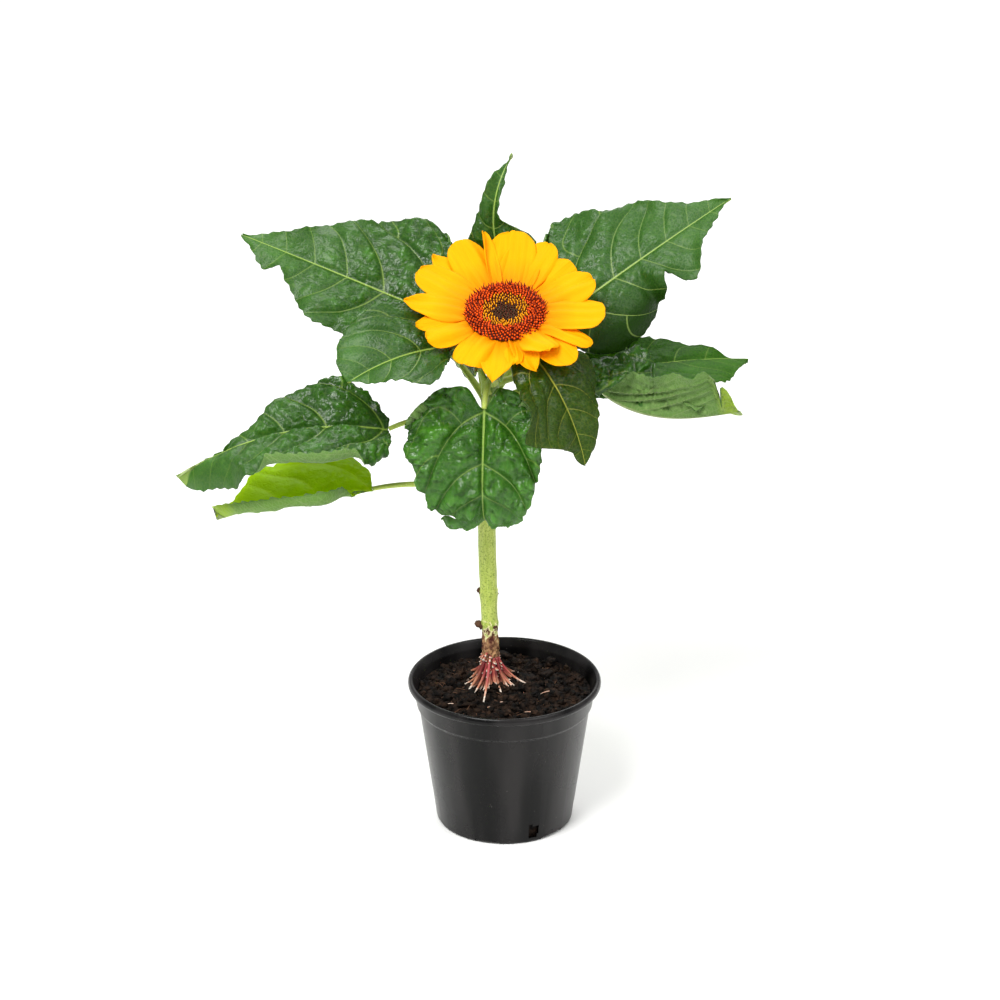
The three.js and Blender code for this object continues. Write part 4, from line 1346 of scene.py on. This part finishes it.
# turn, reach, width, root height, pitch, sag, cup, twist, blunt
PETALS = [
    (-3, 64, 29, 0.9, 5, 2, -16, 0, "broad"),
    (25.6, 63, 28, 0.2, 5, 4, -14, 0, "broad"),
    (46, 62, 24, -0.8, 3, 3, -8, 6, "broad"),
    (65, 67, 24, 0.3, 4, 4, -14, -8, "broad"),
    (77, 71, 27, -0.9, 4, 4, 8, 0, "pointed"),
    (85.5, 70.5, 34, 0.8, 5, 5, -18, 0, "broad"),
    (102, 70, 12, 0.4, 8, 4, 50, 48, "broad"),
    (116, 70, 27, 0.8, 4, 4, -14, 0, "broad"),
    (131.8, 71, 23, -0.9, 2, 2, 6, 0, "pointed"),
    (147, 67, 26, 0.7, 4, 3, -12, 0, "broad"),
    (171.5, 66, 25, 0.6, 5, 1, -12, 0, "pointed"),
    (187.8, 58, 23, -0.9, 2, 0, 6, 0, "pointed"),
    (204.5, 55, 20, 0.6, 4, -4, -20, -10, "broad"),
    (239, 53, 28, 1.0, 14, -26, -44, 0, "broad"),
    (262, 60.5, 23, 0.3, 4, -8, -20, 0, "pointed"),
    (277, 44, 14, -0.9, 2, -6, 4, 0, "broad"),
    (291.7, 52, 19, 0.2, 2, -14, 30, 30, "pointed"),
    (307, 48, 27, 1.8, 18, -20, -34, -20, "broad"),
    (315.5, 59, 26, -0.7, 2, -12, 14, 0, "broad"),
    (336, 61, 18, 0.6, 10, -30, -24, -16, "broad"),
]
PETAL_OUTLINES = {"broad": shares(0.75, 0.42), "pointed": shares(0.7, 0.85)}
PETAL_THICKNESS = 0.5


def grow_petal(i, row):
    turn, reach, width, root, pitch, sag, cup, twist, kind = row
    start = heading(turn, 0) * PETAL_ROOT + Vector((0, 0, root))
    length = reach - PETAL_ROOT
    line = bent_line(start, turn, pitch, length, sag)
    outline = PETAL_OUTLINES[kind]
    bm = bmesh.new()
    bmesh.ops.create_grid(bm, x_segments=48, y_segments=28, size=1)
    layer = point_layer(bm)
    for vert in bm.verts:
        u, v = 1 - (1 - (vert.co.x + 1) / 2) ** 1.6, vert.co.y
        point, _, left, up = line(u)
        half = width / 2 * outline(u)
        q = half * v
        k = radians(cup) / (width / 2)
        across = q if abs(k) < 1e-6 else sin(k * q) / k
        rise = 0 if abs(k) < 1e-6 else (1 - cos(k * q)) / k
        # Two lengthwise folds and fine ribs, deepest at the base.
        rise += 0.8 * cos(q * 0.8 + 2.4 * i) * (1 - 0.6 * u) + 0.12 * sin(q * 3.1 + 2 * i)
        rise += 2.6 * ripple_at(u * 1.7, v * 1.3, i * 7.7) * smooth(u, 0, 0.5)
        leftward, upward = turned(left, up, radians(twist) * smooth(u, 0.1, 1))
        vert.co = HEAD_MATRIX @ (point + leftward * across + upward * rise)
        vert[layer] = (u, q, i)
    name = f"petal_{i + 1:02d}"
    piece = make_piece(bm, "ray_" + name, [petal_skin], [name])
    add_modifier(piece, "SOLIDIFY", thickness=PETAL_THICKNESS * MM, offset=0)


# Petal tissue: thin, matt, a pure warm yellow that deepens to orange at the root, partly its own
# colour and partly painted shade where the petals overlap, and it glows where light comes through.
# Fine lengthwise ribs 0.8 mm apart catch the light.
petal_skin, add = new_material("yellow_petal_tissue")
tone = add("Attribute", out="Vector", attribute_name="tone")
u = add("SeparateXYZ", {0: tone})
lined = add("VectorMath", {0: tone, 1: (2.2, 1.3, 3.0)}, operation="MULTIPLY")
ribs = add("TexNoise", {"Vector": lined, "Scale": 1.0, "Detail": 3})
# Towards the root the ribs turn orange: partly the petal's own colour, partly painted shade where the
# petals overlap.
root_share = add("MapRange", {0: u, 1: 0.6, 2: 0.0, 3: 0.0, 4: 1.4})
root_orange_and_shade = add("Math", {0: ribs, 1: root_share}, operation="MULTIPLY")
body = add("Mix", {0: ribs, 6: "#ffb200", 7: "#ffc800"})
colour = add("Mix", {0: root_orange_and_shade, 6: body, 7: "#ee7400"})
bump = add("Bump", {"Height": ribs, "Strength": 0.35, "Distance": 0.0006})
skin = {
    "Base Color": colour, "Roughness": 0.7, "IOR": 1.4, "Specular IOR Level": 0.15, "Normal": bump,
}
add_surface(add, skin, {"Color": "#ffa800"}, 0.35)

for i, row in enumerate(PETALS):
    grow_petal(i, row)
print("petals:", len(PETALS))

# %% [markdown]
# ## Disc of florets
#
# The disc holds several hundred florets in two families of spirals, each a golden angle on from the
# last. The outer ones are open: a little orange cup with a dark maroon spike. A yellow ring is about
# to open, and the dark olive centre is still in tight bud. Each kind is one joined mesh of cones
# with a few sides, placed by the same spiral.

# %% The disc's dome and its florets
DISC_RADIUS = 25.6
FLORET_SPACE = 1.0
GOLDEN = 137.508
OPEN_FROM, RING_FROM = 15, 8.4  # how far from the middle florets are open, or about to open


def dome(r):
    """Height of the disc's surface under the florets."""
    return 1.8 + 2.0 * smooth(r, 8, 19) - 1.9 * smooth(r, 20, DISC_RADIUS)


def floret_skin(name, low, high):
    """Dull plant tissue that goes from one colour at a floret's foot to another at its tip."""
    material, add = new_material(name)
    tone = add("Attribute", out="Vector", attribute_name="tone")
    up, pick, _ = add("SeparateXYZ", {0: tone}, SPLIT)
    shift = add("Math", {0: pick, 1: 0.4, 2: -0.2}, operation="MULTIPLY_ADD")
    share = add("Math", {0: up, 1: shift}, operation="ADD", use_clamp=True)
    colour = add("Mix", {0: share, 6: low, 7: high})
    add_surface(add, {
        "Base Color": colour, "Roughness": 0.7, "IOR": 1.4, "Specular IOR Level": 0.3,
    })
    return material


def add_cone(bm, foot, direction, low_radius, high_radius, height, sides, pick=0.0):
    """One small cone on the disc, with its height and a chance number kept as its tone."""
    layer = point_layer(bm)
    made = bmesh.ops.create_cone(
        bm, cap_ends=True, segments=sides, radius1=low_radius, radius2=high_radius, depth=height,
        matrix=Matrix.Translation(foot + direction * (height / 2)) @ to_direction(direction),
    )
    for vert in made["verts"]:
        vert[layer] = ((vert.co - foot).dot(direction) / height, pick, 0)


cups, spikes, ring, buds, down = (bmesh.new() for _ in range(5))
count = int((DISC_RADIUS / FLORET_SPACE) ** 2)
for i in range(1, count):
    r = FLORET_SPACE * sqrt(i)
    turn = GOLDEN * i
    out = heading(turn, 0)
    foot = out * r + Vector((0, 0, dome(r)))
    lean = (Vector((0, 0, 1)) + out * (0.5 * smooth(r, 17, 27) + 0.2 * around(i, 61))).normalized()
    pick = chance(i, 62)
    age = r + 1.5 * around(i, 67)  # neighbours open a little before or after each other
    if age > OPEN_FROM:
        open_share = smooth(r, 13, 19)
        add_cone(cups, foot, lean, 0.38, 0.7, 1.5 + 0.9 * chance(i, 66), 5, pick)
        if chance(i, 63) < 0.2 + 0.7 * open_share:
            tilt = (lean + heading(360 * chance(i, 64), 0) * 0.4).normalized()
            tall = 2.4 + 2.0 * pick * open_share + 0.8 * open_share
            add_cone(spikes, foot, tilt, 0.6, 0.16, tall, 5, pick)
    elif age > RING_FROM:
        add_cone(ring, foot, lean, 0.6, 0.3, 1.4 + 1.5 * pick, 5, pick)
    else:
        add_cone(buds, foot, lean, 0.62, 0.12, 1.2 + 0.6 * pick, 5, pick)
        for j in range(2):
            side = heading(360 * chance(i, 65 + j), 0) * 0.7
            add_cone(down, foot + lean * 0.7, (lean + side).normalized(), 0.12, 0.03, 1.4, 3, pick)
for bm in (cups, spikes, ring, buds, down):
    bmesh.ops.transform(bm, matrix=HEAD_MATRIX, verts=bm.verts)
make_piece(spikes, "floret_spikes", [floret_skin("maroon_anthers", "#a02a04", "#4a0c02")])
make_piece(ring, "floret_ring", [floret_skin("opening_florets", "#8a3c00", "#ffae08")])
make_piece(buds, "floret_buds", [floret_skin("tight_buds", "#1a1306", "#433a1a")])
make_piece(down, "floret_down", [floret_skin("bud_down", "#4e4630", "#857f6c")])
make_piece(cups, "floret_cups", [floret_skin("open_florets", "#8a2000", "#ea5200")])
bm = bmesh.new()
section = [(0, -1.0), (18, -0.6), (22, 1.0), (DISC_RADIUS - 1, 1.4)]
section += [(r, dome(r) - 0.1) for r in (DISC_RADIUS, 24, 21, 18, 15, 12, 9, 6, 3, 0)]
spin_profile(bm, section, 72)
bmesh.ops.transform(bm, matrix=HEAD_MATRIX, verts=bm.verts)
make_piece(bm, "disc_base", [floret_skin("disc_tissue", "#4a1a06", "#6a2a08")], ["disc_florets"])
print("florets:", count)

# %% [markdown]
# ## Back of the head
#
# The receptacle is a fleshy green cup, ringed by two rows of pointed bracts. Fine hairs too small to
# model give them a soft pale bloom at the edges, which the shader's sheen stands in for. The cup is
# spun and each bract is a small grid, bent like a petal and given its thickness by a modifier.

# %% Back of the head
BRACTS, BRACT_WIDTH, BRACT_THICKNESS = 32, 11, 0.9
CUP_SECTION = [
    (0, -15), (6.2, -15), (7.2, -14), (8.7, -11.5), (12, -9.2), (16, -7.5), (20, -6.3), (23.5, -5),
    (25, -2.6), (23, -1.6), (0, -1.6),
]
bract_outline = shares(0.3, 0.95)
bract_skin, add = new_material("hairy_bract_skin")
coords = add("TexCoord", out="Object")
cloud = add("TexNoise", {"Vector": coords, "Scale": 220, "Detail": 3})
hairs = add("TexNoise", {"Vector": coords, "Scale": 1500, "Detail": 2})
green = add("Mix", {0: cloud, 6: "#4e7a2c", 7: "#86a650"})
bump = add("Bump", {"Height": hairs, "Strength": 0.5, "Distance": 0.0003})
add_surface(add, {
    "Base Color": green, "Roughness": 0.6, "IOR": 1.4, "Normal": bump,
    "Sheen Weight": 0.3, "Sheen Roughness": 0.5,
})

bm = bmesh.new()
spin_profile(bm, CUP_SECTION, 96)
bmesh.ops.transform(bm, matrix=HEAD_MATRIX, verts=bm.verts)
make_piece(bm, "receptacle_cup", [bract_skin], ["receptacle"])

bm = bmesh.new()
for i in range(BRACTS):
    turn = 360 / BRACTS * i + 5 * around(i, 3)
    low = i % 2
    start = heading(turn, 0) * 17 + Vector((0, 0, -6.2 - 1.6 * low))
    long, sag = 27 - 3 * low + 3 * around(i, 7), -42 + 12 * around(i, 8)
    line = bent_line(start, turn, 2 - 9 * low, long, sag)
    made = bmesh.ops.create_grid(bm, x_segments=12, y_segments=6, size=1)
    for vert in made["verts"]:
        u, v = (vert.co.x + 1) / 2, vert.co.y
        point, _, left, up = line(u)
        half = BRACT_WIDTH / 2 * bract_outline(u)
        vert.co = HEAD_MATRIX @ (point + left * half * v + up * (0.9 * v * v - 0.4 * bell(v, 0.25)))
bracts = make_piece(bm, "bracts", [bract_skin])
add_modifier(bracts, "SOLIDIFY", thickness=BRACT_THICKNESS * MM, offset=0)
print("bracts:", BRACTS)
